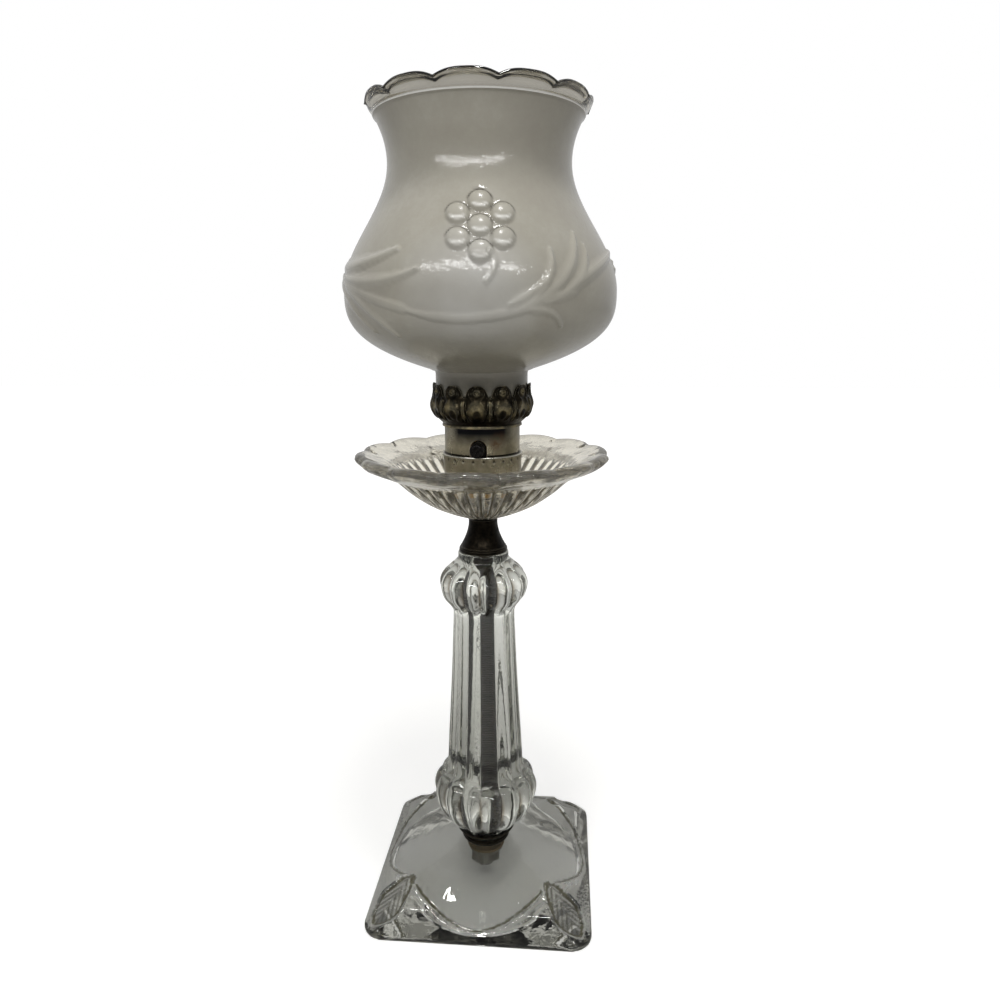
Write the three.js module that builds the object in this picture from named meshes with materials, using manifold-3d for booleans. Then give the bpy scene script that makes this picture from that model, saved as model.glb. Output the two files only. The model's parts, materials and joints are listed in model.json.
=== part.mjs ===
// Vanity lamp in pressed glass, held together by one threaded pipe. Millimetres, +Z up.
// The origin is where the lamp's axis meets the surface that it stands on. The switch faces -Y.

import * as THREE from 'three';
import { mergeVertices } from 'three/addons/utils/BufferGeometryUtils.js';
import Module from 'manifold-3d';

const wasm = await Module();
wasm.setup();

// Fits and facets
const FIT_GAP = 0.3;
const OVERRUN = 2;
const MERGE_DISTANCE = 0.0005;
const ROUND_SIDES = 20;
const FINE_SIDES = 32;
const SMALL_SIDES = 12;

// Threaded pipe, and the hexagon nuts that pull the lamp together
const PIPE_RADIUS = 5;
const PIPE_BORE_RADIUS = 3.4;
const PIPE_TAIL = 2.4;
const HEX_ACROSS_FLATS = 14;
const BASE_NUT_HEIGHT = 4;
const SAUCER_NUT_HEIGHT = 3.5;
const PAD_RADIUS = 9.4;
const PAD_THICKNESS = 1;
const WASHER_RADIUS = 8.8;
const WASHER_THICKNESS = 1.2;

// Glass base: four lobes that run down to the middles of the sides, with a corner block between
// each two of them. A corner block has sloping sides, flatter panels above and a leaf cut.
const BASE_SIDE = 107;
const BASE_CORNER_RADIUS = 10;
const BASE_FOOT_HEIGHT = 2.2;
const BASE_SHOULDER_HEIGHT = 12;
const BASE_SHOULDER_INSET = 7.5;
const BASE_PANEL_WIDTH = 12;
const BASE_PEAK_HEIGHT = 19.8;
const BASE_HEIGHT = 20.5;
const BASE_SEAT_RADIUS = 13;
const BASE_LOBE_REACH = 51;
const BASE_LOBE_CENTRE_SHARE = 0.2;
const BASE_LOBE_POWER = 2.4;
const BASE_LOBE_STEP = 1.2;
const BASE_RIM_WIDTH = 8.4;
const BASE_CROWN_THICKNESS = 8;
const BASE_LIP_HEIGHT = 2.6;
const LEAF_FOOT_HEIGHT = 1;
const LEAF_FOOT_INSET = 1.6;
const CORD_NOTCH_WIDTH = 8;
const CORD_NOTCH_HEIGHT = 5;
const LOBE_SIDES = 64;

// Rings between the base and the column
const LOWER_RING_RADIUS = 12;
const LOWER_RING_HEIGHT = 2.8;
const CUP_RING_RADIUS = 14.6;
const CUP_RING_FOOT_RADIUS = 12;
const CUP_RING_HEIGHT = 3.4;
const CUP_RING_WALL = 0.9;

// Glass column: foot, lower bulge, fluted shaft, upper bulge and lip
const COLUMN_BORE_RADIUS = 7;
const COLUMN_FOOT_RADIUS = 10.4;
const COLUMN_LOWER_BULGE_RADIUS = 25.9;
const COLUMN_LOWER_BULGE_HEIGHT = 24;
const COLUMN_SHAFT_FOOT_RADIUS = 18.7;
const COLUMN_SHAFT_FOOT_HEIGHT = 40;
const COLUMN_SHAFT_TOP_RADIUS = 14.8;
const COLUMN_SHAFT_TOP_HEIGHT = 118.6;
const COLUMN_UPPER_BULGE_RADIUS = 21;
const COLUMN_UPPER_BULGE_RISE = 13.7;
const COLUMN_HEAD_RISE = 15.4;
const COLUMN_LIP_RADIUS = 11.9;
const COLUMN_LIP_HEIGHT = 3.2;
const COLUMN_FLUTE_COUNT = 14;
const COLUMN_FLUTE_DEPTH = 0.8;
const COLUMN_BULGE_FLUTE_DEPTH = 1.5;

// Metal neck between the column and the saucer
const SPOOL_HEIGHT = 16.5;
const SPOOL_FOOT_RADIUS = 11.3;
const SPOOL_WAIST_RADIUS = 6.7;
const SPOOL_HEAD_RADIUS = 7.6;

// Glass saucer: a ribbed bowl with a wide lobed rim
const SAUCER_HEIGHT = 31;
const SAUCER_RADIUS = 57.2;
const SAUCER_FOOT_RADIUS = 9;
const SAUCER_BOWL_RADIUS = 43;
const SAUCER_BOWL_HEIGHT = 20.8;
const SAUCER_WALL = 3.8;
const SAUCER_FLOOR_RADIUS = 14.5;
const SAUCER_FLOOR_THICKNESS = 5;
const SAUCER_RIB_COUNT = 42;
const SAUCER_RIB_DEPTH = 0.8;
const SAUCER_LOBE_COUNT = 14;
const SAUCER_LOBE_DEPTH = 1.6;

// Socket: bushing, cap, shell, liner, body and contacts
const BUSHING_COLLAR_RADIUS = 8.2;
const BUSHING_COLLAR_HEIGHT = 6;
const BUSHING_SPIGOT_RADIUS = 6.6;
const BUSHING_SPIGOT_HEIGHT = 2.6;
const SET_SCREW_RADIUS = 1.6;
const SET_SCREW_STAND_OUT = 1.6;
const CAP_HEIGHT = 13.5;
const CAP_WALL = 0.5;
const CAP_BEAD = 0.35;
const SHELL_RADIUS = 17.1;
const SHELL_WALL = 0.5;
const SHELL_HEIGHT = 30.6;
const SHELL_OVERLAP = 5.5;
const LINER_WALL = 0.9;
const INSULATOR_WALL = 0.6;
const BODY_LIFT = 4.2;
const BODY_HEIGHT = 21;
const TERMINAL_POCKET_DEPTH = 3.6;
const TERMINAL_POCKET_HEIGHT = 8;
const TERMINAL_HEAD_RADIUS = 2.8;
const TERMINAL_HEAD_HEIGHT = 1.8;
const TERMINAL_SHANK_RADIUS = 1.5;
const TERMINAL_SHANK_LENGTH = 4.5;
const SCREW_SHELL_RADIUS = 14.1;
const SCREW_SHELL_WALL = 0.4;
const SCREW_SHELL_HEIGHT = 12.2;
const SCREW_SHELL_FLOOR_RADIUS = 8.4;
const THREAD_PITCH = 3.6;
const THREAD_DEPTH = 0.5;
const CONTACT_LENGTH = 13;
const CONTACT_WIDTH = 5;
const CONTACT_THICKNESS = 0.5;

// Push-through switch, across the socket's body
const SWITCH_RISE = 3.9;
const SWITCH_TRAVEL = 6;
const BUTTON_RADIUS = 3.1;
const BUTTON_LENGTH = 12;
const BUTTON_REACH = 8;
const BUTTON_ROUND = 0.8;
const BUTTON_BORE_DEPTH = 5;
const PLUNGER_ROD_RADIUS = 1.3;
const PLUNGER_CAM_LENGTH = 4;
const SLOT_SIDE_GAP = 0.75;

// Gallery that holds the shade
const GALLERY_HEIGHT = 18.6;
const GALLERY_WALL = 0.7;
const GALLERY_LEDGE_HEIGHT = 12.9;
const GALLERY_LEDGE_RADIUS = 15;
const GALLERY_BULGE_RADIUS = 23;
const GALLERY_BULGE_HEIGHT = 9.6;
const GALLERY_MOTIF_COUNT = 12;
const GALLERY_TAB_DEPTH = 4.2;
const GALLERY_BOSS_DEPTH = 0.5;

// Glass shade
const SHADE_HEIGHT = 121.2;
const SHADE_WALL = 3;
const SHADE_NECK_RADIUS = 20.65;
const SHADE_NECK_HEIGHT = 10.6;
const SHADE_BELLY_RADIUS = 59.8;
const SHADE_BELLY_HEIGHT = 43.6;
const SHADE_BELLY_POWER = 2.85;
const SHADE_WAIST_RADIUS = 39;
const SHADE_WAIST_HEIGHT = 96.8;
const SHADE_RIM_RADIUS = 47.6;
const SHADE_RIM_DROP = 2.4;
const SHADE_SCALLOP_COUNT = 12;
const SHADE_SCALLOP_DEPTH = 2.2;
const BERRY_RADIUS = 4.4;
const BERRY_SPACING = 10;
const BERRY_HEIGHT = 66.2;
const BERRY_STAND_OUT = 1.5;
const BERRY_TURN = Math.PI / 30;

// Bulb
const BULB_CAP_RADIUS = 13.1;
const BULB_CAP_HEIGHT = 20;
const BULB_INSULATOR_HEIGHT = 2.6;
const BULB_CONTACT_RADIUS = 4.6;
const BULB_CONTACT_HEIGHT = 0.8;
const BULB_NECK_RADIUS = 12;
const BULB_RADIUS = 15.6;
const BULB_GLASS_HEIGHT = 68;
const BULB_GLASS_WALL = 0.8;
const BULB_STEM_HEIGHT = 20;
const BULB_STEM_RADIUS = 5.4;
const FILAMENT_HEIGHT = 15;
const FILAMENT_WIRE_RADIUS = 0.35;

// Clear holes and heights that follow from the sizes above, each piece standing on the one below
const PIPE_HOLE_RADIUS = PIPE_RADIUS + FIT_GAP;
const COLUMN_UPPER_BULGE_HEIGHT = COLUMN_SHAFT_TOP_HEIGHT + COLUMN_UPPER_BULGE_RISE;
const COLUMN_HEIGHT = COLUMN_UPPER_BULGE_HEIGHT + COLUMN_HEAD_RISE;
const CROWN_Z = BASE_HEIGHT - BASE_CROWN_THICKNESS;
const BASE_PAD_Z = CROWN_Z - FIT_GAP - PAD_THICKNESS;
const BASE_WASHER_Z = BASE_PAD_Z - FIT_GAP - WASHER_THICKNESS;
const BASE_NUT_Z = BASE_WASHER_Z - FIT_GAP - BASE_NUT_HEIGHT;
const PIPE_Z = BASE_NUT_Z - PIPE_TAIL;
const LOWER_RING_Z = BASE_HEIGHT + FIT_GAP;
const CUP_RING_Z = LOWER_RING_Z + LOWER_RING_HEIGHT + FIT_GAP;
const COLUMN_Z = CUP_RING_Z + CUP_RING_WALL + FIT_GAP;
const SPOOL_Z = COLUMN_Z + COLUMN_HEIGHT + FIT_GAP;
const SAUCER_Z = SPOOL_Z + SPOOL_HEIGHT + FIT_GAP;
const SAUCER_PAD_Z = SAUCER_Z + SAUCER_FLOOR_THICKNESS + FIT_GAP;
const SAUCER_NUT_Z = SAUCER_PAD_Z + PAD_THICKNESS + FIT_GAP;
const BUSHING_Z = SAUCER_NUT_Z + SAUCER_NUT_HEIGHT + FIT_GAP;
const CAP_Z = BUSHING_Z + BUSHING_COLLAR_HEIGHT + FIT_GAP;
const CAP_TOP_Z = CAP_Z + CAP_HEIGHT;
const PIPE_TOP_Z = CAP_Z + BUSHING_SPIGOT_HEIGHT - FIT_GAP;
const SHELL_Z = CAP_TOP_Z - SHELL_OVERLAP;
const SHELL_TOP_Z = SHELL_Z + SHELL_HEIGHT;
const BODY_Z = CAP_Z + BODY_LIFT;
const BODY_TOP_Z = BODY_Z + BODY_HEIGHT;
const SWITCH_Z = CAP_TOP_Z + SWITCH_RISE;
const GALLERY_Z = SHELL_TOP_Z + FIT_GAP - GALLERY_LEDGE_HEIGHT;
const SHADE_Z = GALLERY_Z + GALLERY_LEDGE_HEIGHT + GALLERY_WALL + FIT_GAP;
const CONTACT_Z = BODY_TOP_Z + FIT_GAP;
const BULB_CONTACT_Z = CONTACT_Z + CONTACT_THICKNESS + FIT_GAP;
const BULB_INSULATOR_Z = BULB_CONTACT_Z + BULB_CONTACT_HEIGHT + FIT_GAP;
const BULB_CAP_Z = BULB_INSULATOR_Z + BULB_INSULATOR_HEIGHT + FIT_GAP;
const BULB_GLASS_Z = BULB_CAP_Z + BULB_CAP_HEIGHT + FIT_GAP;

// Radii inside the socket, each sleeve running clear inside the next
const CAP_RADIUS = SHELL_RADIUS + FIT_GAP + CAP_WALL;
const LINER_RADIUS = SHELL_RADIUS - SHELL_WALL - FIT_GAP;
const BODY_RADIUS = LINER_RADIUS - LINER_WALL - FIT_GAP;
const BUTTON_HOLE_RADIUS = BUTTON_RADIUS + FIT_GAP;

// Finishes
function finish(color, roughness, metalness, opacity = 1) {
  return new THREE.MeshStandardMaterial({ color, roughness, metalness, opacity, transparent: opacity < 1 });
}
const clearGlass = () => finish(0xd5d7cf, 0.05, 0, 0.45);
const satinGlass = () => finish(0xaeaa9f, 0.45, 0, 0.9);
const agedBronze = () => finish(0x3f3830, 0.45, 0.9);
const dullNickel = () => finish(0x97927f, 0.4, 0.9);
const plainSteel = () => finish(0x85847d, 0.45, 0.9);
const brass = () => finish(0xa98a4e, 0.35, 0.9);
const bakelite = () => finish(0x1a1512, 0.3, 0);
const fibre = () => finish(0x54402e, 0.85, 0);

// Geometry helpers

// Keeps position only, joins shared corners, drops empty triangles and turns the faces out
function closed(geometry) {
  const bare = geometry.clone();
  bare.deleteAttribute('normal');
  bare.deleteAttribute('uv');
  const merged = mergeVertices(bare, MERGE_DISTANCE);
  const corner = (index) => new THREE.Vector3().fromBufferAttribute(merged.attributes.position, index);
  const triangles = [];
  let volume = 0;
  for (let i = 0; i < merged.index.count; i += 3) {
    const [a, b, c] = [0, 1, 2].map((step) => merged.index.getX(i + step));
    if (a === b || b === c || c === a) continue;
    triangles.push([a, b, c]);
    volume += corner(a).dot(corner(b).cross(corner(c)));
  }
  merged.setIndex(triangles.flatMap(([a, b, c]) => (volume > 0 ? [a, b, c] : [a, c, b])));
  return merged;
}

function solid(geometry) {
  const mesh = closed(geometry);
  const vertProperties = new Float32Array(mesh.attributes.position.array);
  const triVerts = new Uint32Array(mesh.index.array);
  return new wasm.Manifold(new wasm.Mesh({ numProp: 3, vertProperties, triVerts }));
}

function shaped(manifold) {
  const mesh = manifold.getMesh();
  const geometry = new THREE.BufferGeometry();
  geometry.setAttribute('position', new THREE.BufferAttribute(mesh.vertProperties, 3));
  geometry.setIndex(new THREE.BufferAttribute(mesh.triVerts, 1));
  return geometry;
}

function cut(body, ...tools) {
  return shaped(tools.reduce((left, tool) => left.subtract(solid(tool)), solid(body)));
}

// Turns a profile of [radius, height] points about Z. A profile off the axis closes on itself.
function turned(profile, sides = ROUND_SIDES) {
  const points = profile.map(([radius, height]) => new THREE.Vector2(radius, height));
  if (profile[0][0] > 0) points.push(points[0].clone());
  return new THREE.LatheGeometry(points, sides).rotateX(Math.PI / 2);
}

// Turns a closed profile, then moves each point to what press(angle, radius, height) returns.
// Angle 0 faces -Y and grows towards +X.
function pressed(profile, sides, press) {
  const geometry = turned(profile, sides);
  const rows = profile.length + (profile[0][0] > 0 ? 1 : 0);
  for (let i = 0; i < geometry.attributes.position.count; i += 1) {
    const angle = (Math.floor(i / rows) % sides) * 2 * Math.PI / sides;
    const [radius, height] = profile[(i % rows) % profile.length];
    const [newRadius, newHeight] = press(angle, radius, height);
    const [x, y] = [newRadius * Math.sin(angle), -newRadius * Math.cos(angle)];
    geometry.attributes.position.setXYZ(i, x, y, newHeight);
  }
  return geometry;
}

function tube(outerRadius, innerRadius, height, sides = ROUND_SIDES) {
  return turned([[innerRadius, 0], [outerRadius, 0], [outerRadius, height], [innerRadius, height]], sides);
}

function rod(radius, height, sides = ROUND_SIDES) {
  return new THREE.CylinderGeometry(radius, radius, height, sides).rotateX(Math.PI / 2)
    .translate(0, 0, height / 2);
}

function block(width, depth, height) {
  return new THREE.BoxGeometry(width, depth, height).translate(0, 0, height / 2);
}

// Points of a stretch of outline, from the first share after 0 up to 1
function stretch(steps, pointAt) {
  return Array.from({ length: steps }, (_, step) => pointAt((step + 1) / steps));
}

// Moves an outline sideways, to the left of the way it runs
function offset(points, distance) {
  return points.map(([radius, height], i) => {
    const before = points[Math.max(i - 1, 0)];
    const after = points[Math.min(i + 1, points.length - 1)];
    const run = new THREE.Vector2(after[0] - before[0], after[1] - before[1]).normalize();
    return [radius - run.y * distance, height + run.x * distance];
  });
}

// 1 on a crest and 0 in a valley, with sharp valleys. One crest faces -Y where phase is 0.
const lobed = (angle, count, phase = 0) => Math.abs(Math.cos((angle * count) / 2 - phase));

function hexNut(height) {
  const outer = rod(HEX_ACROSS_FLATS / Math.sqrt(3), height, 6);
  const bore = rod(PIPE_HOLE_RADIUS, height + 2 * OVERRUN).translate(0, 0, -OVERRUN);
  return cut(outer, bore);
}

// Glass base

function roundedSquare(side, cornerRadius) {
  const half = side / 2;
  const inner = half - cornerRadius;
  const outline = new THREE.Shape();
  outline.absarc(inner, inner, cornerRadius, 0, Math.PI / 2);
  outline.absarc(-inner, inner, cornerRadius, Math.PI / 2, Math.PI);
  outline.absarc(-inner, -inner, cornerRadius, Math.PI, 1.5 * Math.PI);
  outline.absarc(inner, -inner, cornerRadius, 1.5 * Math.PI, 2 * Math.PI);
  return outline;
}

function extruded(shape, depth) {
  return new THREE.ExtrudeGeometry(shape, { depth, bevelEnabled: false, curveSegments: 4 });
}

// Turn from the middle of the nearest side
function turnFromSide(angle) {
  const quarter = Math.PI / 2;
  return angle - Math.round(angle / quarter) * quarter;
}

// Reach of four overlapping circles, whose cusps lie on the diagonals
function quatrefoilReach(angle, sideReach) {
  const centre = sideReach * BASE_LOBE_CENTRE_SHARE;
  const turn = turnFromSide(angle);
  return centre * Math.cos(turn) + Math.sqrt((sideReach - centre) ** 2 - (centre * Math.sin(turn)) ** 2);
}

// Height of a corner block at a distance from the middle of the base, towards the nearer side
function blockHeight(distance) {
  const inset = BASE_SIDE / 2 - distance;
  const sideShare = Math.min(1, inset / BASE_SHOULDER_INSET);
  const panelShare = Math.min(1, Math.max(0, inset - BASE_SHOULDER_INSET) / BASE_PANEL_WIDTH);
  return BASE_FOOT_HEIGHT + (BASE_SHOULDER_HEIGHT - BASE_FOOT_HEIGHT) * sideShare
    + (BASE_PEAK_HEIGHT - BASE_SHOULDER_HEIGHT) * panelShare;
}

// Four-lobed pillow: level out to the seat, then falling to edgeHeight(angle, reach) at its edge.
// Its profile is in shares, of the reach along and of the height up.
function pillow(sideReach, bottom, top, edgeHeight) {
  const seatShare = BASE_SEAT_RADIUS / sideReach;
  const slope = [0, 1, 2, 3, 4, 5].map((step) => [1 - ((1 - seatShare) * step) / 6, 1]);
  const profile = [[0, 0], [1, 0], ...slope, [seatShare, 1], [0, 1]];
  return pressed(profile, LOBE_SIDES, (angle, share, level) => {
    const reach = quatrefoilReach(angle, sideReach);
    if (level === 0) return [share * reach, bottom];
    const fall = Math.max(0, (share - seatShare) / (1 - seatShare)) ** BASE_LOBE_POWER;
    return [share * reach, top - (top - edgeHeight(angle, reach)) * fall];
  });
}

function squareFrustum(lowerSide, upperSide, height) {
  return new THREE.CylinderGeometry(upperSide / Math.SQRT2, lowerSide / Math.SQRT2, height, 4)
    .rotateY(Math.PI / 4).rotateX(Math.PI / 2).translate(0, 0, height / 2);
}

// A slab above the leaf plane of one corner, which falls from the block's peak to the foot
function leafCut(corner) {
  const peakReach = (BASE_SIDE / 2 - BASE_SHOULDER_INSET - BASE_PANEL_WIDTH) * Math.SQRT2;
  const footReach = (BASE_SIDE / 2 - LEAF_FOOT_INSET) * Math.SQRT2;
  const slope = Math.atan2(BASE_PEAK_HEIGHT - LEAF_FOOT_HEIGHT, footReach - peakReach);
  return block(BASE_SIDE, BASE_SIDE, BASE_HEIGHT)
    .rotateY(slope)
    .translate(peakReach, 0, BASE_PEAK_HEIGHT)
    .rotateZ(Math.PI / 4 + (corner * Math.PI) / 2);
}

function cornerBlocks() {
  const shoulderSide = BASE_SIDE - 2 * BASE_SHOULDER_INSET;
  const peakSide = shoulderSide - 2 * BASE_PANEL_WIDTH;
  const sides = squareFrustum(BASE_SIDE, shoulderSide, BASE_SHOULDER_HEIGHT - BASE_FOOT_HEIGHT)
    .translate(0, 0, BASE_FOOT_HEIGHT);
  const panels = squareFrustum(shoulderSide, peakSide, BASE_PEAK_HEIGHT - BASE_SHOULDER_HEIGHT)
    .translate(0, 0, BASE_SHOULDER_HEIGHT);
  const foot = extruded(roundedSquare(BASE_SIDE, BASE_CORNER_RADIUS), BASE_FOOT_HEIGHT);
  const room = pillow(BASE_LOBE_REACH, -OVERRUN, BASE_HEIGHT + OVERRUN, () => BASE_HEIGHT + OVERRUN);
  const whole = solid(foot).add(solid(sides)).add(solid(panels)).subtract(solid(room));
  return [0, 1, 2, 3].reduce((blocks, corner) => blocks.subtract(solid(leafCut(corner))), whole);
}

function cordNotch() {
  const round = CORD_NOTCH_WIDTH / 2;
  const straight = CORD_NOTCH_HEIGHT - round;
  const top = rod(round, BASE_SIDE, SMALL_SIDES).rotateX(-Math.PI / 2).translate(0, 0, straight);
  const sides = block(CORD_NOTCH_WIDTH, BASE_SIDE, straight + OVERRUN)
    .translate(0, BASE_SIDE / 2, -OVERRUN);
  return solid(top).add(solid(sides));
}

function glassBase() {
  const edge = (angle, reach) => blockHeight(reach * Math.cos(turnFromSide(angle))) - BASE_LOBE_STEP;
  const lobes = pillow(BASE_LOBE_REACH, 0, BASE_HEIGHT, edge);
  const envelope = extruded(roundedSquare(BASE_SIDE, BASE_CORNER_RADIUS), BASE_HEIGHT);
  const hollow = pillow(BASE_SIDE / 2 - BASE_RIM_WIDTH, -OVERRUN, CROWN_Z, () => BASE_LIP_HEIGHT);
  const bore = rod(PIPE_HOLE_RADIUS, BASE_HEIGHT + 2 * OVERRUN).translate(0, 0, -OVERRUN);
  return shaped(cornerBlocks().add(solid(lobes)).intersect(solid(envelope))
    .subtract(solid(hollow)).subtract(solid(bore)).subtract(cordNotch()));
}

// Rings, column and neck

function cupRing() {
  const wall = CUP_RING_WALL;
  const outer = [[CUP_RING_FOOT_RADIUS, 0], [CUP_RING_RADIUS, CUP_RING_HEIGHT]];
  return turned([
    [PIPE_HOLE_RADIUS, 0],
    ...outer,
    [CUP_RING_RADIUS - wall, CUP_RING_HEIGHT],
    [CUP_RING_FOOT_RADIUS - wall / 2, wall],
    [PIPE_HOLE_RADIUS, wall],
  ]);
}

// Shares of the way from the lower bulge to the foot of the shaft, as [height, radius]
const BULGE_SHOULDER_SHARES = [[0.3, 0.9], [0.52, 0.72], [0.66, 0.3], [0.82, 0.08], [1, 0]];

function columnOutline() {
  const rimHeight = CUP_RING_HEIGHT - CUP_RING_WALL - FIT_GAP;
  const lowerRise = COLUMN_LOWER_BULGE_HEIGHT - rimHeight;
  const lowerSwell = COLUMN_LOWER_BULGE_RADIUS - COLUMN_FOOT_RADIUS;
  const shoulderRise = COLUMN_SHAFT_FOOT_HEIGHT - COLUMN_LOWER_BULGE_HEIGHT;
  const shoulderFall = COLUMN_LOWER_BULGE_RADIUS - COLUMN_SHAFT_FOOT_RADIUS;
  const upperRise = COLUMN_UPPER_BULGE_HEIGHT - COLUMN_SHAFT_TOP_HEIGHT;
  const upperSwell = COLUMN_UPPER_BULGE_RADIUS - COLUMN_SHAFT_TOP_RADIUS;
  const lipBase = COLUMN_HEIGHT - COLUMN_LIP_HEIGHT;
  return [
    [COLUMN_FOOT_RADIUS, 0],
    [COLUMN_FOOT_RADIUS, rimHeight],
    ...stretch(4, (share) => [
      COLUMN_FOOT_RADIUS + lowerSwell * Math.sin((share * Math.PI) / 2),
      rimHeight + lowerRise * (1 + share - Math.cos((share * Math.PI) / 2)) / 2,
    ]),
    ...BULGE_SHOULDER_SHARES.map(([heightShare, radiusShare]) => [
      COLUMN_SHAFT_FOOT_RADIUS + shoulderFall * radiusShare,
      COLUMN_LOWER_BULGE_HEIGHT + shoulderRise * heightShare,
    ]),
    [COLUMN_SHAFT_TOP_RADIUS, COLUMN_SHAFT_TOP_HEIGHT],
    ...stretch(3, (share) => [
      COLUMN_SHAFT_TOP_RADIUS + upperSwell * Math.sin((share * Math.PI) / 2),
      COLUMN_SHAFT_TOP_HEIGHT + upperRise * (1 - Math.cos((share * Math.PI) / 2)),
    ]),
    ...stretch(4, (share) => [
      COLUMN_LIP_RADIUS + (COLUMN_UPPER_BULGE_RADIUS - COLUMN_LIP_RADIUS) * Math.cos((share * Math.PI) / 2),
      COLUMN_UPPER_BULGE_HEIGHT + (lipBase - COLUMN_UPPER_BULGE_HEIGHT) * share,
    ]),
    [COLUMN_LIP_RADIUS, COLUMN_HEIGHT],
  ];
}

// Flutes are deepest on the two bulges and fade out at the foot and the lip
function columnFluteDepth(height) {
  const bulges = [
    [COLUMN_LOWER_BULGE_HEIGHT, COLUMN_SHAFT_FOOT_HEIGHT - COLUMN_LOWER_BULGE_HEIGHT],
    [COLUMN_UPPER_BULGE_HEIGHT, COLUMN_UPPER_BULGE_HEIGHT - COLUMN_SHAFT_TOP_HEIGHT],
  ];
  const swell = Math.max(...bulges.map(([middle, reach]) => 1 - Math.abs(height - middle) / reach));
  const onShaft = height > COLUMN_LOWER_BULGE_HEIGHT && height < COLUMN_UPPER_BULGE_HEIGHT;
  return Math.max(onShaft ? COLUMN_FLUTE_DEPTH : 0, COLUMN_BULGE_FLUTE_DEPTH * swell);
}

function glassColumn() {
  const outline = columnOutline();
  const profile = [[COLUMN_BORE_RADIUS, 0], ...outline, [COLUMN_BORE_RADIUS, COLUMN_HEIGHT]];
  return pressed(profile, 4 * COLUMN_FLUTE_COUNT, (angle, radius, height) => {
    if (radius === COLUMN_BORE_RADIUS) return [radius, height];
    const valley = 1 - lobed(angle, COLUMN_FLUTE_COUNT, Math.PI / 2);
    return [radius - columnFluteDepth(height) * valley, height];
  });
}

// Shares of the spool's height, and of the way from its waist to its foot
const SPOOL_SHARES = [[0.08, 1], [0.14, 0.94], [0.3, 0.58], [0.48, 0.28], [0.66, 0.09], [0.84, 0]];

function neckSpool() {
  const flare = SPOOL_FOOT_RADIUS - SPOOL_WAIST_RADIUS;
  return turned([
    [PIPE_HOLE_RADIUS, 0],
    [SPOOL_FOOT_RADIUS, 0],
    ...SPOOL_SHARES.map(([height, radius]) => [SPOOL_WAIST_RADIUS + flare * radius, SPOOL_HEIGHT * height]),
    [SPOOL_HEAD_RADIUS, SPOOL_HEIGHT],
    [PIPE_HOLE_RADIUS, SPOOL_HEIGHT],
  ], FINE_SIDES);
}

// Saucer

// Shares of the way from the foot to the bowl's edge, and on from there to the rim
const BOWL_SHARES = [[0.21, 0.12], [0.47, 0.32], [0.72, 0.6], [0.88, 0.83], [1, 1]];
const RIM_SHARES = [[0.5, 0.52], [1, 0.84]];

function saucerOutline() {
  const bowlRun = SAUCER_BOWL_RADIUS - SAUCER_FOOT_RADIUS;
  const rimRun = SAUCER_RADIUS - SAUCER_BOWL_RADIUS;
  const rimRise = SAUCER_HEIGHT - SAUCER_WALL - SAUCER_BOWL_HEIGHT;
  return [
    [SAUCER_FOOT_RADIUS, 0],
    ...BOWL_SHARES.map(([run, rise]) => [SAUCER_FOOT_RADIUS + bowlRun * run, SAUCER_BOWL_HEIGHT * rise]),
    ...RIM_SHARES.map(([run, rise]) => [
      SAUCER_BOWL_RADIUS + rimRun * run, SAUCER_BOWL_HEIGHT + rimRise * rise,
    ]),
  ];
}

function glassSaucer() {
  const outer = saucerOutline();
  const inner = offset(outer, SAUCER_WALL).slice(3, -1).reverse();
  const profile = [
    [PIPE_HOLE_RADIUS, 0],
    ...outer,
    [SAUCER_RADIUS + SAUCER_WALL / 4, SAUCER_HEIGHT - SAUCER_WALL / 2],
    [SAUCER_RADIUS - SAUCER_WALL / 2, SAUCER_HEIGHT],
    ...inner,
    [SAUCER_FLOOR_RADIUS, SAUCER_FLOOR_THICKNESS],
    [PIPE_HOLE_RADIUS, SAUCER_FLOOR_THICKNESS],
  ];
  const isOuter = new Set(outer.slice(1).map(([radius]) => radius));
  return pressed(profile, 2 * SAUCER_RIB_COUNT, (angle, radius, height) => {
    const rimShare = Math.max(0, (radius - SAUCER_BOWL_RADIUS) / (SAUCER_RADIUS - SAUCER_BOWL_RADIUS));
    const notch = rimShare * SAUCER_LOBE_DEPTH * (1 - lobed(angle, SAUCER_LOBE_COUNT));
    const ribbed = isOuter.has(radius) && radius <= SAUCER_BOWL_RADIUS;
    const valley = ribbed ? SAUCER_RIB_DEPTH * (1 - lobed(angle, SAUCER_RIB_COUNT)) : 0;
    return [radius - notch - valley, height];
  });
}

// Socket

function capBushing() {
  const body = turned([
    [PIPE_HOLE_RADIUS, 0],
    [BUSHING_COLLAR_RADIUS, 0],
    [BUSHING_COLLAR_RADIUS, BUSHING_COLLAR_HEIGHT],
    [BUSHING_SPIGOT_RADIUS, BUSHING_COLLAR_HEIGHT],
    [BUSHING_SPIGOT_RADIUS, BUSHING_COLLAR_HEIGHT + BUSHING_SPIGOT_HEIGHT],
    [PIPE_HOLE_RADIUS, BUSHING_COLLAR_HEIGHT + BUSHING_SPIGOT_HEIGHT],
  ]);
  const screwHole = rod(SET_SCREW_RADIUS + FIT_GAP, BUSHING_COLLAR_RADIUS + OVERRUN, SMALL_SIDES)
    .rotateY(Math.PI / 2).translate(0, 0, BUSHING_COLLAR_HEIGHT / 2);
  return cut(body, screwHole);
}

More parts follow.
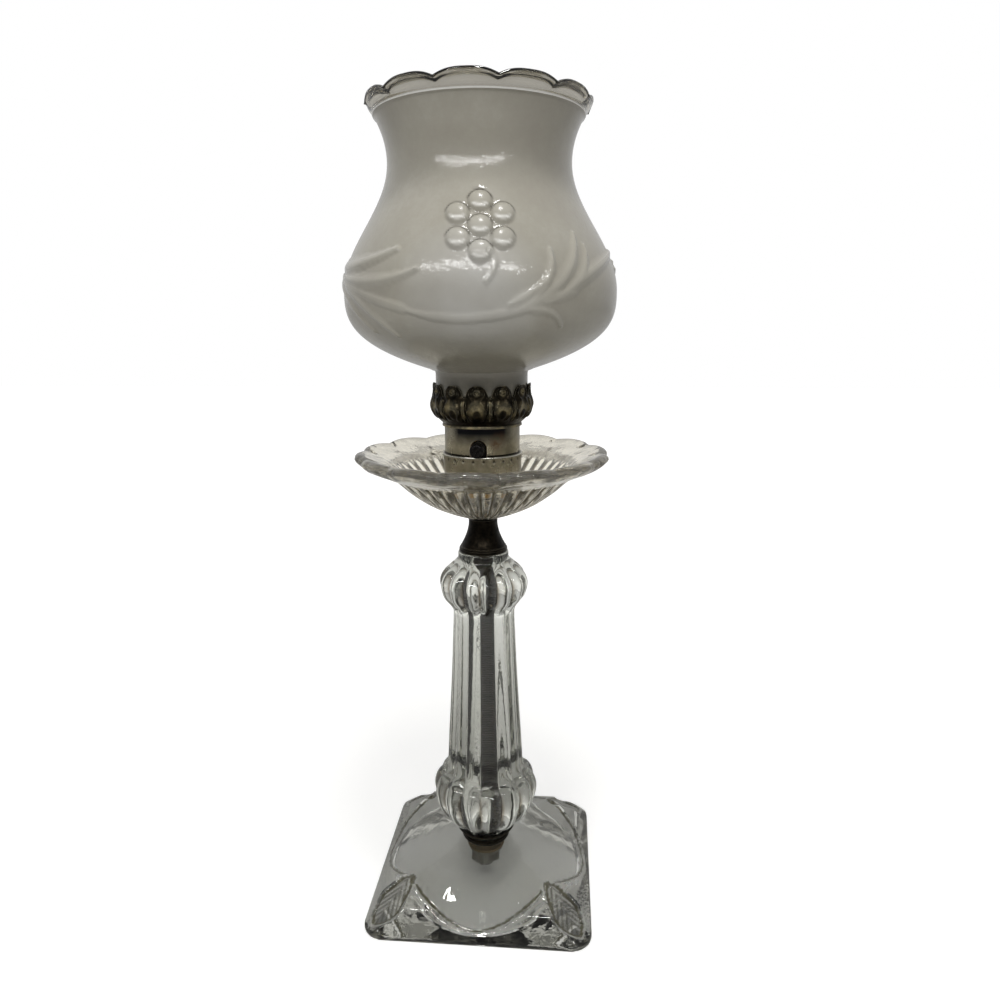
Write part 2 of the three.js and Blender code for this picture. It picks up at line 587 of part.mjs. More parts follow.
function setScrew() {
  const length = BUSHING_COLLAR_RADIUS + SET_SCREW_STAND_OUT - PIPE_HOLE_RADIUS;
  const slot = block(SET_SCREW_RADIUS / 2, 3 * SET_SCREW_RADIUS, SET_SCREW_STAND_OUT)
    .translate(0, 0, length - SET_SCREW_STAND_OUT / 2);
  return cut(rod(SET_SCREW_RADIUS, length, SMALL_SIDES), slot).rotateY(Math.PI / 2)
    .translate(PIPE_HOLE_RADIUS, 0, BUSHING_COLLAR_HEIGHT / 2);
}

// Shares of the cap's radius and of its round part's height
const CAP_ROUND_SHARES = [[0.76, 0.05], [0.93, 0.4], [1, 1]];
const CAP_ROUND_HEIGHT_SHARE = 0.46;

function capOutline(outsideRadius) {
  const roundHeight = CAP_HEIGHT * CAP_ROUND_HEIGHT_SHARE;
  return CAP_ROUND_SHARES.map(([radius, height]) => [outsideRadius * radius, roundHeight * height]);
}

function socketCap() {
  const holeRadius = BUSHING_SPIGOT_RADIUS + FIT_GAP;
  const outer = capOutline(CAP_RADIUS);
  const inner = capOutline(CAP_RADIUS - CAP_WALL).map(([radius, height]) => [radius, height + CAP_WALL]);
  return turned([
    [holeRadius, 0],
    ...outer,
    [CAP_RADIUS, CAP_HEIGHT - 2 * CAP_BEAD],
    [CAP_RADIUS + CAP_BEAD, CAP_HEIGHT - CAP_BEAD],
    [CAP_RADIUS, CAP_HEIGHT],
    [CAP_RADIUS - CAP_WALL, CAP_HEIGHT],
    ...inner.reverse(),
    [holeRadius, CAP_WALL],
  ], FINE_SIDES);
}

function capInsulator() {
  const radius = CAP_RADIUS - CAP_WALL - FIT_GAP;
  const lift = CAP_WALL + FIT_GAP;
  const holeRadius = BUSHING_SPIGOT_RADIUS + 2 * FIT_GAP;
  const top = CAP_HEIGHT - SHELL_OVERLAP - FIT_GAP;
  const outer = capOutline(radius).map(([r, z]) => [r, z + lift]);
  const inner = capOutline(radius - INSULATOR_WALL).map(([r, z]) => [r, z + lift + INSULATOR_WALL]);
  return turned([
    [holeRadius, lift],
    ...outer,
    [radius, top],
    [radius - INSULATOR_WALL, top],
    ...inner.reverse(),
    [holeRadius, lift + INSULATOR_WALL],
  ]);
}

// A sleeve with an arched slot front and back, open at the bottom, for the switch buttons
function slottedSleeve(radius, wall, bottomZ, topZ, slotRadius) {
  const sleeve = tube(radius, radius - wall, topZ - bottomZ, FINE_SIDES).translate(0, 0, bottomZ);
  const arch = rod(slotRadius, 3 * radius).rotateX(Math.PI / 2).translate(0, 1.5 * radius, SWITCH_Z);
  const slotBottom = bottomZ - OVERRUN;
  const slot = block(2 * slotRadius, 3 * radius, SWITCH_Z - slotBottom).translate(0, 0, slotBottom);
  return cut(sleeve, arch, slot);
}

function terminalHeight() {
  return TERMINAL_POCKET_HEIGHT / 2;
}

function socketBody() {
  const body = rod(BODY_RADIUS, BODY_HEIGHT, FINE_SIDES);
  const buttonHole = rod(BUTTON_HOLE_RADIUS, 3 * BODY_RADIUS).rotateX(Math.PI / 2)
    .translate(0, 1.5 * BODY_RADIUS, SWITCH_Z - BODY_Z);
  const pocketWidth = 2 * TERMINAL_HEAD_RADIUS + 4 * FIT_GAP;
  const pockets = [-1, 1].map((side) => block(2 * TERMINAL_POCKET_DEPTH, pocketWidth, TERMINAL_POCKET_HEIGHT)
    .translate(side * BODY_RADIUS, 0, -OVERRUN / 2));
  const holeReach = BODY_RADIUS - TERMINAL_POCKET_DEPTH - TERMINAL_SHANK_LENGTH - FIT_GAP;
  const holes = [0, Math.PI].map((turn) => rod(TERMINAL_SHANK_RADIUS + FIT_GAP, BODY_RADIUS, SMALL_SIDES)
    .rotateY(Math.PI / 2).translate(holeReach, 0, terminalHeight()).rotateZ(turn));
  return cut(body, buttonHole, ...pockets, ...holes);
}

function terminalScrew() {
  const seat = BODY_RADIUS - TERMINAL_POCKET_DEPTH + FIT_GAP;
  const shank = TERMINAL_SHANK_RADIUS;
  const head = TERMINAL_HEAD_RADIUS;
  const screw = turned([
    [0, -TERMINAL_SHANK_LENGTH],
    [shank, -TERMINAL_SHANK_LENGTH],
    [shank, 0],
    [head, 0],
    [head, TERMINAL_HEAD_HEIGHT],
    [0, TERMINAL_HEAD_HEIGHT],
  ], SMALL_SIDES);
  const slot = block(shank / 3, 3 * head, TERMINAL_HEAD_HEIGHT)
    .translate(0, 0, TERMINAL_HEAD_HEIGHT / 2);
  return cut(screw, slot).rotateY(Math.PI / 2).translate(seat, 0, terminalHeight());
}

// Rolled thread, as rings of alternating radius, from the first share after 0 up to height
function rolledThread(radius, depth, height) {
  const turns = Math.max(1, Math.round(height / THREAD_PITCH));
  return stretch(2 * turns, (share) => {
    const crest = Math.round(share * 2 * turns) % 2 === 0;
    return [crest ? radius : radius - depth, share * height];
  });
}

function screwShell() {
  const inner = rolledThread(SCREW_SHELL_RADIUS, THREAD_DEPTH / 2, SCREW_SHELL_HEIGHT)
    .map(([radius, height]) => [radius - SCREW_SHELL_WALL, height]);
  return turned([
    [SCREW_SHELL_FLOOR_RADIUS, 0],
    [SCREW_SHELL_RADIUS, 0],
    ...rolledThread(SCREW_SHELL_RADIUS, THREAD_DEPTH / 2, SCREW_SHELL_HEIGHT),
    ...inner.reverse(),
    [SCREW_SHELL_RADIUS - SCREW_SHELL_WALL, SCREW_SHELL_WALL],
    [SCREW_SHELL_FLOOR_RADIUS, SCREW_SHELL_WALL],
  ]);
}

// Switch

function switchButton() {
  const hole = PLUNGER_ROD_RADIUS + FIT_GAP;
  return turned([
    [0, BUTTON_BORE_DEPTH],
    [hole, BUTTON_BORE_DEPTH],
    [hole, 0],
    [BUTTON_RADIUS, 0],
    [BUTTON_RADIUS, BUTTON_LENGTH - BUTTON_ROUND],
    [BUTTON_RADIUS - BUTTON_ROUND, BUTTON_LENGTH],
    [0, BUTTON_LENGTH],
  ], ROUND_SIDES);
}

function switchPlunger(length) {
  const end = length / 2;
  const cam = PLUNGER_CAM_LENGTH / 2;
  return turned([
    [0, -end],
    [PLUNGER_ROD_RADIUS, -end],
    [PLUNGER_ROD_RADIUS, -cam],
    [BUTTON_RADIUS, -cam],
    [BUTTON_RADIUS, cam],
    [PLUNGER_ROD_RADIUS, cam],
    [PLUNGER_ROD_RADIUS, end],
    [0, end],
  ], SMALL_SIDES).rotateX(Math.PI / 2);
}

// Gallery

// Shares of the gallery's height up to its bulge, and of the way out to it
const GALLERY_FOOT_SHARES = [[0.2, 0.22], [0.5, 0.74], [1, 1]];

function galleryOutline() {
  const footRadius = SHELL_RADIUS + FIT_GAP + GALLERY_WALL;
  const collarRadius = SHADE_NECK_RADIUS + FIT_GAP + GALLERY_WALL;
  const swell = GALLERY_BULGE_RADIUS - footRadius;
  return [
    [footRadius, 0],
    ...GALLERY_FOOT_SHARES.map(([rise, run]) => [footRadius + swell * run, GALLERY_BULGE_HEIGHT * rise]),
    [(GALLERY_BULGE_RADIUS + collarRadius) / 2, GALLERY_LEDGE_HEIGHT],
    [collarRadius, GALLERY_LEDGE_HEIGHT + 3 * GALLERY_WALL],
    [collarRadius, GALLERY_HEIGHT],
  ];
}

function shadeHolder() {
  const outer = galleryOutline();
  const inside = outer.map(([radius, height]) => [radius - GALLERY_WALL, height]);
  const ledgeOuter = inside[inside.length - 3][0];
  const profile = [
    ...outer,
    inside[inside.length - 1],
    inside[inside.length - 2],
    [ledgeOuter, GALLERY_LEDGE_HEIGHT + GALLERY_WALL],
    [GALLERY_LEDGE_RADIUS, GALLERY_LEDGE_HEIGHT + GALLERY_WALL],
    [GALLERY_LEDGE_RADIUS, GALLERY_LEDGE_HEIGHT],
    [ledgeOuter, GALLERY_LEDGE_HEIGHT],
    ...inside.slice(0, -3).reverse(),
  ];
  return pressed(profile, 4 * GALLERY_MOTIF_COUNT, (angle, radius, height) => {
    const motif = Math.sqrt(lobed(angle, GALLERY_MOTIF_COUNT));
    if (height === GALLERY_HEIGHT) return [radius, height - GALLERY_TAB_DEPTH * (1 - motif)];
    const onBulge = radius > GALLERY_BULGE_RADIUS - GALLERY_WALL / 2;
    return [radius + (onBulge ? GALLERY_BOSS_DEPTH * (motif - 1) : 0), height];
  });
}

// Shade

function shadeOutline() {
  const bellySwell = SHADE_BELLY_RADIUS - SHADE_NECK_RADIUS;
  const bellyRise = SHADE_BELLY_HEIGHT - SHADE_NECK_HEIGHT;
  const waistRise = SHADE_WAIST_HEIGHT - SHADE_BELLY_HEIGHT;
  const rimHeight = SHADE_HEIGHT - SHADE_RIM_DROP;
  return [
    [SHADE_NECK_RADIUS, 0],
    [SHADE_NECK_RADIUS, SHADE_NECK_HEIGHT],
    ...stretch(5, (share) => {
      const rise = share ** 2;
      return [
        SHADE_NECK_RADIUS + bellySwell * (1 - (1 - rise) ** SHADE_BELLY_POWER),
        SHADE_NECK_HEIGHT + bellyRise * rise,
      ];
    }),
    ...stretch(5, (share) => [
      SHADE_WAIST_RADIUS
        + (SHADE_BELLY_RADIUS - SHADE_WAIST_RADIUS) * (1 + Math.cos(share * Math.PI)) / 2,
      SHADE_BELLY_HEIGHT + waistRise * share,
    ]),
    ...stretch(3, (share) => [
      SHADE_WAIST_RADIUS + (SHADE_RIM_RADIUS - SHADE_WAIST_RADIUS) * share ** 2,
      SHADE_WAIST_HEIGHT + (rimHeight - SHADE_WAIST_HEIGHT) * share,
    ]),
    [SHADE_RIM_RADIUS, SHADE_HEIGHT],
  ];
}

// Seven raised berries in a flower, as places across and up from the middle, in berry spacings
const BERRY_PLACE_SHARES = [[0, 0], ...Array.from({ length: 6 }, (_, berry) => [
  Math.sin((berry * Math.PI) / 3), Math.cos((berry * Math.PI) / 3),
])];

// Stretch of the shade's outline that holds a height, as its radius there and its lean
function shadeSurfaceAt(height) {
  const outline = shadeOutline();
  const above = outline.findIndex(([, z]) => z > height);
  const [lowRadius, lowZ] = outline[above - 1];
  const [highRadius, highZ] = outline[above];
  const rate = (highRadius - lowRadius) / (highZ - lowZ);
  return [lowRadius + rate * (height - lowZ), Math.atan(rate)];
}

// A flattened ball, half sunk in the shade's wall
function berry(turn, height) {
  const [radius, lean] = shadeSurfaceAt(height);
  return new THREE.SphereGeometry(BERRY_RADIUS, 8, 4)
    .scale(1, (2 * BERRY_STAND_OUT) / BERRY_RADIUS, 1)
    .rotateX(lean)
    .translate(0, -(radius - BERRY_STAND_OUT), height)
    .rotateZ(turn / radius);
}

function glassShade() {
  const outer = shadeOutline();
  const neckInside = SHADE_NECK_RADIUS - SHADE_WALL;
  const inner = offset(outer, SHADE_WALL).slice(3, -1);
  const profile = [
    ...outer,
    [SHADE_RIM_RADIUS - SHADE_WALL, SHADE_HEIGHT],
    ...inner.reverse(),
    [neckInside, SHADE_NECK_HEIGHT + SHADE_WALL],
    [neckInside, 0],
  ];
  const shell = pressed(profile, 4 * SHADE_SCALLOP_COUNT, (angle, radius, height) => {
    const notch = height === SHADE_HEIGHT ? 1 - lobed(angle, SHADE_SCALLOP_COUNT) : 0;
    return [radius, height - SHADE_SCALLOP_DEPTH * notch];
  });
  let glass = solid(shell);
  for (const facing of [BERRY_TURN, BERRY_TURN + Math.PI]) {
    for (const [across, up] of BERRY_PLACE_SHARES) {
      const ball = berry(across * BERRY_SPACING, BERRY_HEIGHT + up * BERRY_SPACING);
      glass = glass.add(solid(ball.rotateZ(facing)));
    }
  }
  return shaped(glass);
}

// Bulb

function bulbInsulator() {
  const top = BULB_CAP_RADIUS - 2 * THREAD_DEPTH;
  return turned([[0, 0], [BULB_CONTACT_RADIUS, 0], [top, BULB_INSULATOR_HEIGHT], [0, BULB_INSULATOR_HEIGHT]]);
}

function bulbCap() {
  const threads = rolledThread(BULB_CAP_RADIUS, THREAD_DEPTH, BULB_CAP_HEIGHT);
  const inner = BULB_CAP_RADIUS - 3 * THREAD_DEPTH;
  return turned([[inner, 0], [BULB_CAP_RADIUS, 0], ...threads, [inner, BULB_CAP_HEIGHT]]);
}

// Shares of the bulb's glass height, and of the way from its neck to its widest
const BULB_SHARES = [[0.08, 0.02], [0.24, 0.55], [0.4, 0.95], [0.5, 1], [0.62, 0.86]];
const BULB_TIP_SHARES = [[0.75, 0.8], [0.87, 0.52], [0.96, 0.2]];

function bulbEnvelope() {
  const swell = BULB_RADIUS - BULB_NECK_RADIUS;
  const outer = [
    [BULB_NECK_RADIUS, 0],
    ...BULB_SHARES.map(([rise, run]) => [BULB_NECK_RADIUS + swell * run, BULB_GLASS_HEIGHT * rise]),
    ...BULB_TIP_SHARES.map(([rise, run]) => [BULB_NECK_RADIUS * run, BULB_GLASS_HEIGHT * rise]),
  ];
  const inner = offset(outer, BULB_GLASS_WALL).slice(1).reverse();
  return turned([
    [0, BULB_GLASS_HEIGHT - BULB_GLASS_WALL],
    ...inner,
    [BULB_NECK_RADIUS - BULB_GLASS_WALL, 0],
    ...outer,
    [0, BULB_GLASS_HEIGHT],
  ]);
}

function bulbStem() {
  const half = BULB_STEM_RADIUS / 2;
  return turned([
    [0, 0], [BULB_STEM_RADIUS, 0], [half, BULB_STEM_HEIGHT / 2], [BULB_STEM_RADIUS, BULB_STEM_HEIGHT],
    [0, BULB_STEM_HEIGHT],
  ], SMALL_SIDES);
}

function filament() {
  const reach = BULB_STEM_RADIUS - 2 * FILAMENT_WIRE_RADIUS;
  const path = new THREE.CatmullRomCurve3([
    new THREE.Vector3(-reach, 0, 0),
    new THREE.Vector3(-reach, 0, FILAMENT_HEIGHT / 2),
    new THREE.Vector3(0, 0, FILAMENT_HEIGHT),
    new THREE.Vector3(reach, 0, FILAMENT_HEIGHT / 2),
    new THREE.Vector3(reach, 0, 0),
  ]);
  const section = new THREE.Shape().absarc(0, 0, FILAMENT_WIRE_RADIUS, 0, 2 * Math.PI);
  return new THREE.ExtrudeGeometry(section, { steps: 16, curveSegments: 3, extrudePath: path });
}

// Assembly

function piece(name, geometry, material, z = 0) {
  const mesh = new THREE.Mesh(closed(geometry), material);
  mesh.name = name;
  mesh.position.z = z;
  return mesh;
}

function group(...children) {
  const parts = new THREE.Group();
  parts.add(...children);
  return parts;
}

const foot = group(
  piece('glass_base', glassBase(), clearGlass()),
  piece('base_pad', tube(PAD_RADIUS, PIPE_HOLE_RADIUS, PAD_THICKNESS), fibre(), BASE_PAD_Z),
  piece('base_washer', tube(WASHER_RADIUS, PIPE_HOLE_RADIUS, WASHER_THICKNESS), plainSteel(), BASE_WASHER_Z),
  piece('base_nut', hexNut(BASE_NUT_HEIGHT), plainSteel(), BASE_NUT_Z),
  piece('lamp_pipe', tube(PIPE_RADIUS, PIPE_BORE_RADIUS, PIPE_TOP_Z - PIPE_Z), plainSteel(), PIPE_Z),
);

const stem = group(
  piece('lower_seat_ring', tube(LOWER_RING_RADIUS, PIPE_HOLE_RADIUS, LOWER_RING_HEIGHT, FINE_SIDES),
    agedBronze(), LOWER_RING_Z),
  piece('column_cup_ring', cupRing(), agedBronze(), CUP_RING_Z),
  piece('glass_column', glassColumn(), clearGlass(), COLUMN_Z),
  piece('neck_spool', neckSpool(), agedBronze(), SPOOL_Z),
  piece('glass_saucer', glassSaucer(), clearGlass(), SAUCER_Z),
  piece('saucer_pad', tube(PAD_RADIUS, PIPE_HOLE_RADIUS, PAD_THICKNESS), fibre(), SAUCER_PAD_Z),
  piece('saucer_nut', hexNut(SAUCER_NUT_HEIGHT), plainSteel(), SAUCER_NUT_Z),
);

const shellSlotRadius = BUTTON_RADIUS + SLOT_SIDE_GAP;
const linerSlotRadius = BUTTON_RADIUS + SLOT_SIDE_GAP / 2;
const contactGeometry = block(CONTACT_LENGTH, CONTACT_WIDTH, CONTACT_THICKNESS);
const rearTerminal = terminalScrew().rotateZ(Math.PI);

const socket = group(
  piece('cap_bushing', capBushing(), brass(), BUSHING_Z),
  piece('set_screw', setScrew(), plainSteel(), BUSHING_Z),
  piece('socket_cap', socketCap(), dullNickel(), CAP_Z),
  piece('cap_insulator', capInsulator(), fibre(), CAP_Z),
  piece('socket_shell', slottedSleeve(SHELL_RADIUS, SHELL_WALL, SHELL_Z, SHELL_TOP_Z, shellSlotRadius),
    dullNickel()),
  piece('shell_liner', slottedSleeve(LINER_RADIUS, LINER_WALL, SHELL_Z, SHELL_TOP_Z, linerSlotRadius),
    fibre()),
  piece('socket_body', socketBody(), bakelite(), BODY_Z),
  piece('live_terminal_screw', terminalScrew(), brass(), BODY_Z),
  piece('neutral_terminal_screw', rearTerminal, dullNickel(), BODY_Z),
  piece('screw_shell', screwShell(), brass(), CONTACT_Z),
  piece('centre_contact', contactGeometry, brass(), CONTACT_Z),
  piece('shade_holder', shadeHolder(), agedBronze(), GALLERY_Z),
);

// At rest the front button stands out by its reach, and the back one by that less the travel
const frontEnd = -(SHELL_RADIUS + BUTTON_REACH);
const backEnd = SHELL_RADIUS + BUTTON_REACH - SWITCH_TRAVEL;
const plungerLength = backEnd - frontEnd - 2 * (BUTTON_LENGTH - BUTTON_BORE_DEPTH) - 2 * FIT_GAP;
const pushSwitch = group(
  piece('switch_plunger', switchPlunger(plungerLength).translate(0, (frontEnd + backEnd) / 2, 0), brass()),
  piece('front_button', switchButton().rotateX(Math.PI / 2).translate(0, frontEnd + BUTTON_LENGTH, 0),
    bakelite()),
  piece('back_button', switchButton().rotateX(-Math.PI / 2).translate(0, backEnd - BUTTON_LENGTH, 0),
    bakelite()),
);
pushSwitch.position.z = SWITCH_Z;

const stemTop = BULB_GLASS_Z + BULB_STEM_HEIGHT;
const bulb = group(
  piece('bulb_contact', rod(BULB_CONTACT_RADIUS, BULB_CONTACT_HEIGHT), brass(), BULB_CONTACT_Z),
  piece('bulb_insulator', bulbInsulator(), bakelite(), BULB_INSULATOR_Z),
  piece('bulb_cap', bulbCap(), brass(), BULB_CAP_Z),
  piece('bulb_glass', bulbEnvelope(), clearGlass(), BULB_GLASS_Z),
  piece('bulb_stem', bulbStem(), clearGlass(), BULB_GLASS_Z),
  piece('bulb_filament', filament(), plainSteel(), stemTop + FIT_GAP + FILAMENT_WIRE_RADIUS),
);

const shade = piece('glass_shade', glassShade(), satinGlass(), SHADE_Z);
const lamp = group(foot, stem, socket, pushSwitch, bulb, shade);
lamp.name = 'vanity_lamp';

export default lamp;
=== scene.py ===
# %% [markdown]
# # A vanity lamp in pressed glass
#
# The lamp is a stack on one threaded pipe: a square glass foot, a fluted glass column, a metal
# neck, a ribbed glass saucer, a push-through socket, a cast gallery and a frosted glass shade.
# The measured model is loaded first, and nothing below moves it. Each visible piece is then made
# again in finer detail, in the same place, and every finish is built from nodes.

# %% The frame
import json
import math

import bpy
import numpy as np
from mathutils import Matrix, Vector


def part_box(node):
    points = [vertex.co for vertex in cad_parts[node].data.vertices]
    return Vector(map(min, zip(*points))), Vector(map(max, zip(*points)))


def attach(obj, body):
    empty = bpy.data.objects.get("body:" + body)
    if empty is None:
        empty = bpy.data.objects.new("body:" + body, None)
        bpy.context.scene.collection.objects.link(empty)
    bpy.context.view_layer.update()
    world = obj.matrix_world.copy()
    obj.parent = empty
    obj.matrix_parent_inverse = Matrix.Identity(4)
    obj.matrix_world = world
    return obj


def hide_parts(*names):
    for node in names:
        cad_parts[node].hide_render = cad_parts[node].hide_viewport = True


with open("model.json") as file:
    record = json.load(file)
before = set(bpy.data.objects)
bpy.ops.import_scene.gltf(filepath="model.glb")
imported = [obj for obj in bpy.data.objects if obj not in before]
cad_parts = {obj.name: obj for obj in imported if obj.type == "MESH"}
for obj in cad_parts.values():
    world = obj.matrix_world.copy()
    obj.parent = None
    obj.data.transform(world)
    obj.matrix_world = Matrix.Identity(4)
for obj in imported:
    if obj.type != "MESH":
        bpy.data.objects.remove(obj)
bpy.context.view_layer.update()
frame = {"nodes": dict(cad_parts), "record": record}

MM = 0.001
nodes = frame["nodes"]

# %% [markdown]
# ## The lathe
#
# Nearly every piece of the lamp was pressed in a round mould or turned. By hand that is a chain
# of points drawn beside the axis and spun round it. A turned piece could also be a stack of
# extruded and scaled circles, but one spin keeps its rings even, and its outline can be read as
# a maker's template: pairs of radius and height in millimetres.

# %% Drawing an outline and spinning it
def clear_selection():
    """Leaves edit mode and deselects everything, because an operator acts on all that's selected."""
    if bpy.context.object and bpy.context.object.mode != "OBJECT":
        bpy.ops.object.mode_set(mode="OBJECT")
    bpy.ops.object.select_all(action="DESELECT")


def only(piece):
    """Selects one piece and makes it active."""
    clear_selection()
    piece.select_set(True)
    bpy.context.view_layer.objects.active = piece


def drawn(name, outline):
    """A chain of points beside the axis, closed from the last back to the first."""
    clear_selection()
    radius, height = outline[0]
    bpy.ops.mesh.primitive_plane_add(size=MM, location=(radius * MM, 0, height * MM))
    piece = bpy.context.object
    piece.name = piece.data.name = name
    bpy.ops.object.transform_apply(location=True, rotation=True, scale=True)
    bpy.ops.object.mode_set(mode="EDIT")
    bpy.ops.mesh.select_all(action="SELECT")
    bpy.ops.mesh.merge(type="CENTER")
    for (r1, z1), (r2, z2) in zip(outline, outline[1:]):
        step = ((r2 - r1) * MM, 0, (z2 - z1) * MM)
        bpy.ops.mesh.extrude_vertices_move(TRANSFORM_OT_translate={"value": step})
    bpy.ops.mesh.select_all(action="DESELECT")
    if outline[0][0] > 0:
        bpy.ops.object.mode_set(mode="OBJECT")
        piece.data.vertices[0].select = True
        piece.data.vertices[len(outline) - 1].select = True
        bpy.ops.object.mode_set(mode="EDIT")
        bpy.ops.mesh.edge_face_add()
    return piece


def turned(name, outline, sides):
    """Spins an outline of radius and height in mm round the axis into one closed piece."""
    piece = drawn(name, outline)
    bpy.ops.mesh.select_all(action="SELECT")
    bpy.ops.mesh.spin(steps=sides, angle=math.tau, center=(0, 0, 0), axis=(0, 0, 1))
    bpy.ops.mesh.select_all(action="SELECT")
    bpy.ops.mesh.remove_doubles(threshold=0.002 * MM)
    bpy.ops.mesh.normals_make_consistent(inside=False)
    bpy.ops.object.mode_set(mode="OBJECT")
    return piece


def smoothed(piece, degrees=40):
    """Shades a piece smooth, except at edges sharper than the angle."""
    only(piece)
    bpy.ops.object.shade_smooth_by_angle(angle=math.radians(degrees))
    return piece


# %% Rounding a template, and drawing a line beside it
def eased(points, steps=6):
    """A smooth curve through given points of radius and height."""
    ends = [points[0], *points, points[-1]]
    curve = [points[0]]
    for a, b, c, d in zip(ends, ends[1:], ends[2:], ends[3:]):
        for step in range(1, steps + 1):
            t = step / steps
            curve.append(tuple(
                (2 * b[i] + (c[i] - a[i]) * t + (2 * a[i] - 5 * b[i] + 4 * c[i] - d[i]) * t * t
                 + (3 * b[i] - a[i] - 3 * c[i] + d[i]) * t ** 3) / 2 for i in (0, 1)))
    return curve


def beside(points, distance):
    """The same outline moved sideways by a wall's thickness, to the left of the way it runs."""
    moved = []
    for i, (radius, height) in enumerate(points):
        before, after = points[max(i - 1, 0)], points[min(i + 1, len(points) - 1)]
        run = Vector((after[0] - before[0], after[1] - before[1])).normalized()
        moved.append((radius - run.y * distance, height + run.x * distance))
    return moved


# %% [markdown]
# ## Pressing a pattern in
#
# A mould presses ribs, flutes and flowers into the hot glass. By hand this is weight paint and a
# Displace modifier: a vertex that has a weight of 1 moves the full depth, one with 0 stays. Here
# the weights are worked out from each vertex's angle, radius and height, so that fourteen flutes
# are all alike.

# %% Weights and a Displace modifier
def places(piece):
    """Angle, radius and height of each vertex. Angle 0 faces the front button, and grows to +X."""
    points = np.empty(3 * len(piece.data.vertices))
    piece.data.vertices.foreach_get("co", points)
    x, y, z = points.reshape(-1, 3).T / MM
    return np.arctan2(x, -y), np.hypot(x, y), z


def pushed(piece, depth, share, direction="NORMAL"):
    """Moves the vertices by depth in mm, times the share (0 to 1) that each one's place gives."""
    only(piece)
    group = piece.vertex_groups.new(name="push")
    weights = np.clip(share(*places(piece)), 0, 1)
    for i in np.nonzero(weights > 1e-4)[0]:
        group.add([int(i)], float(weights[i]), "REPLACE")
    push = piece.modifiers.new("push", "DISPLACE")
    push.direction = direction
    push.mid_level = 0
    push.strength = depth * MM
    push.vertex_group = group.name
    bpy.ops.object.modifier_apply(modifier=push.name)
    piece.vertex_groups.clear()
    return piece


def marked(piece, name, share):
    """Keeps a share of 0 to 1 with each vertex, for a finish to read by its name."""
    spots = piece.data.attributes.new(name, "FLOAT", "POINT")
    spots.data.foreach_set("value", np.clip(share, 0, 1))


def lobes(angle, count, phase=0.0):
    """1 on each crest and 0 in each valley of a row of round lobes."""
    return np.abs(np.cos(angle * count / 2 - phase))


def between(value, low, high, fade):
    """1 from low to high, falling to 0 over the fade on both sides."""
    return np.clip(np.minimum(value - low, high - value) / fade + 1, 0, 1)


def bump_at(value, middle, half_width):
    """A round bump of height 1 at the middle, and 0 from half_width on."""
    return np.sqrt(np.clip(1 - ((value - middle) / half_width) ** 2, 0, 1))


# %% [markdown]
# ## The frosted shade
#
# The shade is one wall of glass, about 3 mm thick. It swells from a straight neck to a wide
# belly, draws in at the waist and opens to a rim. It was pressed in a mould, then etched satin
# all over except the rim. Its outline follows three easy curves between named heights.

# %% Shade outline
NECK_RADIUS, NECK_BOTTOM, SHOULDER = 20.65, 246.5, 257.1
BELLY_RADIUS, BELLY = 59.1, 290.1
WAIST_RADIUS, WAIST = 39.0, 343.3
RIM_RADIUS, RIM = 47.4, 366.6
SHADE_TOP, SHADE_WALL = 367.7, 3.0
FROST_LINE = 361.3


def shade_radius(height):
    """The outside of the wall: a straight neck, a swelling belly, a waist and an opening rim."""
    if height <= SHOULDER:
        return NECK_RADIUS
    if height <= BELLY:
        share = (height - SHOULDER) / (BELLY - SHOULDER)
        return NECK_RADIUS + (BELLY_RADIUS - NECK_RADIUS) * (1 - (1 - share) ** 2.85)
    if height <= WAIST:
        share = (height - BELLY) / (WAIST - BELLY)
        return WAIST_RADIUS + (BELLY_RADIUS - WAIST_RADIUS) * (1 + math.cos(math.pi * share)) / 2
    share = (height - WAIST) / (RIM - WAIST)
    return WAIST_RADIUS + (RIM_RADIUS - WAIST_RADIUS) * share ** 2


def heights(low, high, step):
    """Even heights from low up to high, with high itself left out."""
    count = max(1, round((high - low) / step))
    return [low + (high - low) * i / count for i in range(count)]


outside = [(shade_radius(z), z) for z in [
    *heights(NECK_BOTTOM, SHOULDER, 1.4), *heights(SHOULDER, 262, 0.45), *heights(262, 270, 0.7),
    *heights(270, 326, 0.72), *heights(326, 358, 1.8), *heights(358, RIM, 0.5), RIM]]
inside = [(shade_radius(z), z) for z in [
    *heights(SHOULDER + 1.2, 264, 1.2), *heights(264, 356, 2.6), *heights(356, 366, 1.2)]]
inner_wall = [(r, z) for r, z in beside(inside, SHADE_WALL) if r > NECK_RADIUS - SHADE_WALL]
rim_lip = [(RIM_RADIUS - 0.1, 367.2), (RIM_RADIUS - 0.6, SHADE_TOP - 0.1), (RIM_RADIUS - 1.4, SHADE_TOP),
           (RIM_RADIUS - 2.3, SHADE_TOP - 0.3), (RIM_RADIUS - 3.0, SHADE_TOP - 1.2)]
neck_inside = [(NECK_RADIUS - SHADE_WALL, SHOULDER + 3), (NECK_RADIUS - SHADE_WALL, 252),
               (NECK_RADIUS - SHADE_WALL, NECK_BOTTOM + 0.5), (NECK_RADIUS - SHADE_WALL + 0.5, NECK_BOTTOM),
               (NECK_RADIUS - 0.5, NECK_BOTTOM)]
outside[0] = (NECK_RADIUS, NECK_BOTTOM + 0.5)
shade = turned("shade", [*outside, *rim_lip, *reversed(inner_wall), *neck_inside], sides=480)
print("shade wall:", len(shade.data.polygons), "faces")

# %% [markdown]
# The rim has twelve scallops with a notch between each two, and two fine ridges below them where
# the mould's parts met. The scallops are pushed straight down, most at the very edge, so that the
# ridges stay level. A last ridge runs round the shoulder, above the gallery.

# %% Scallops and ridges
SCALLOPS = 12


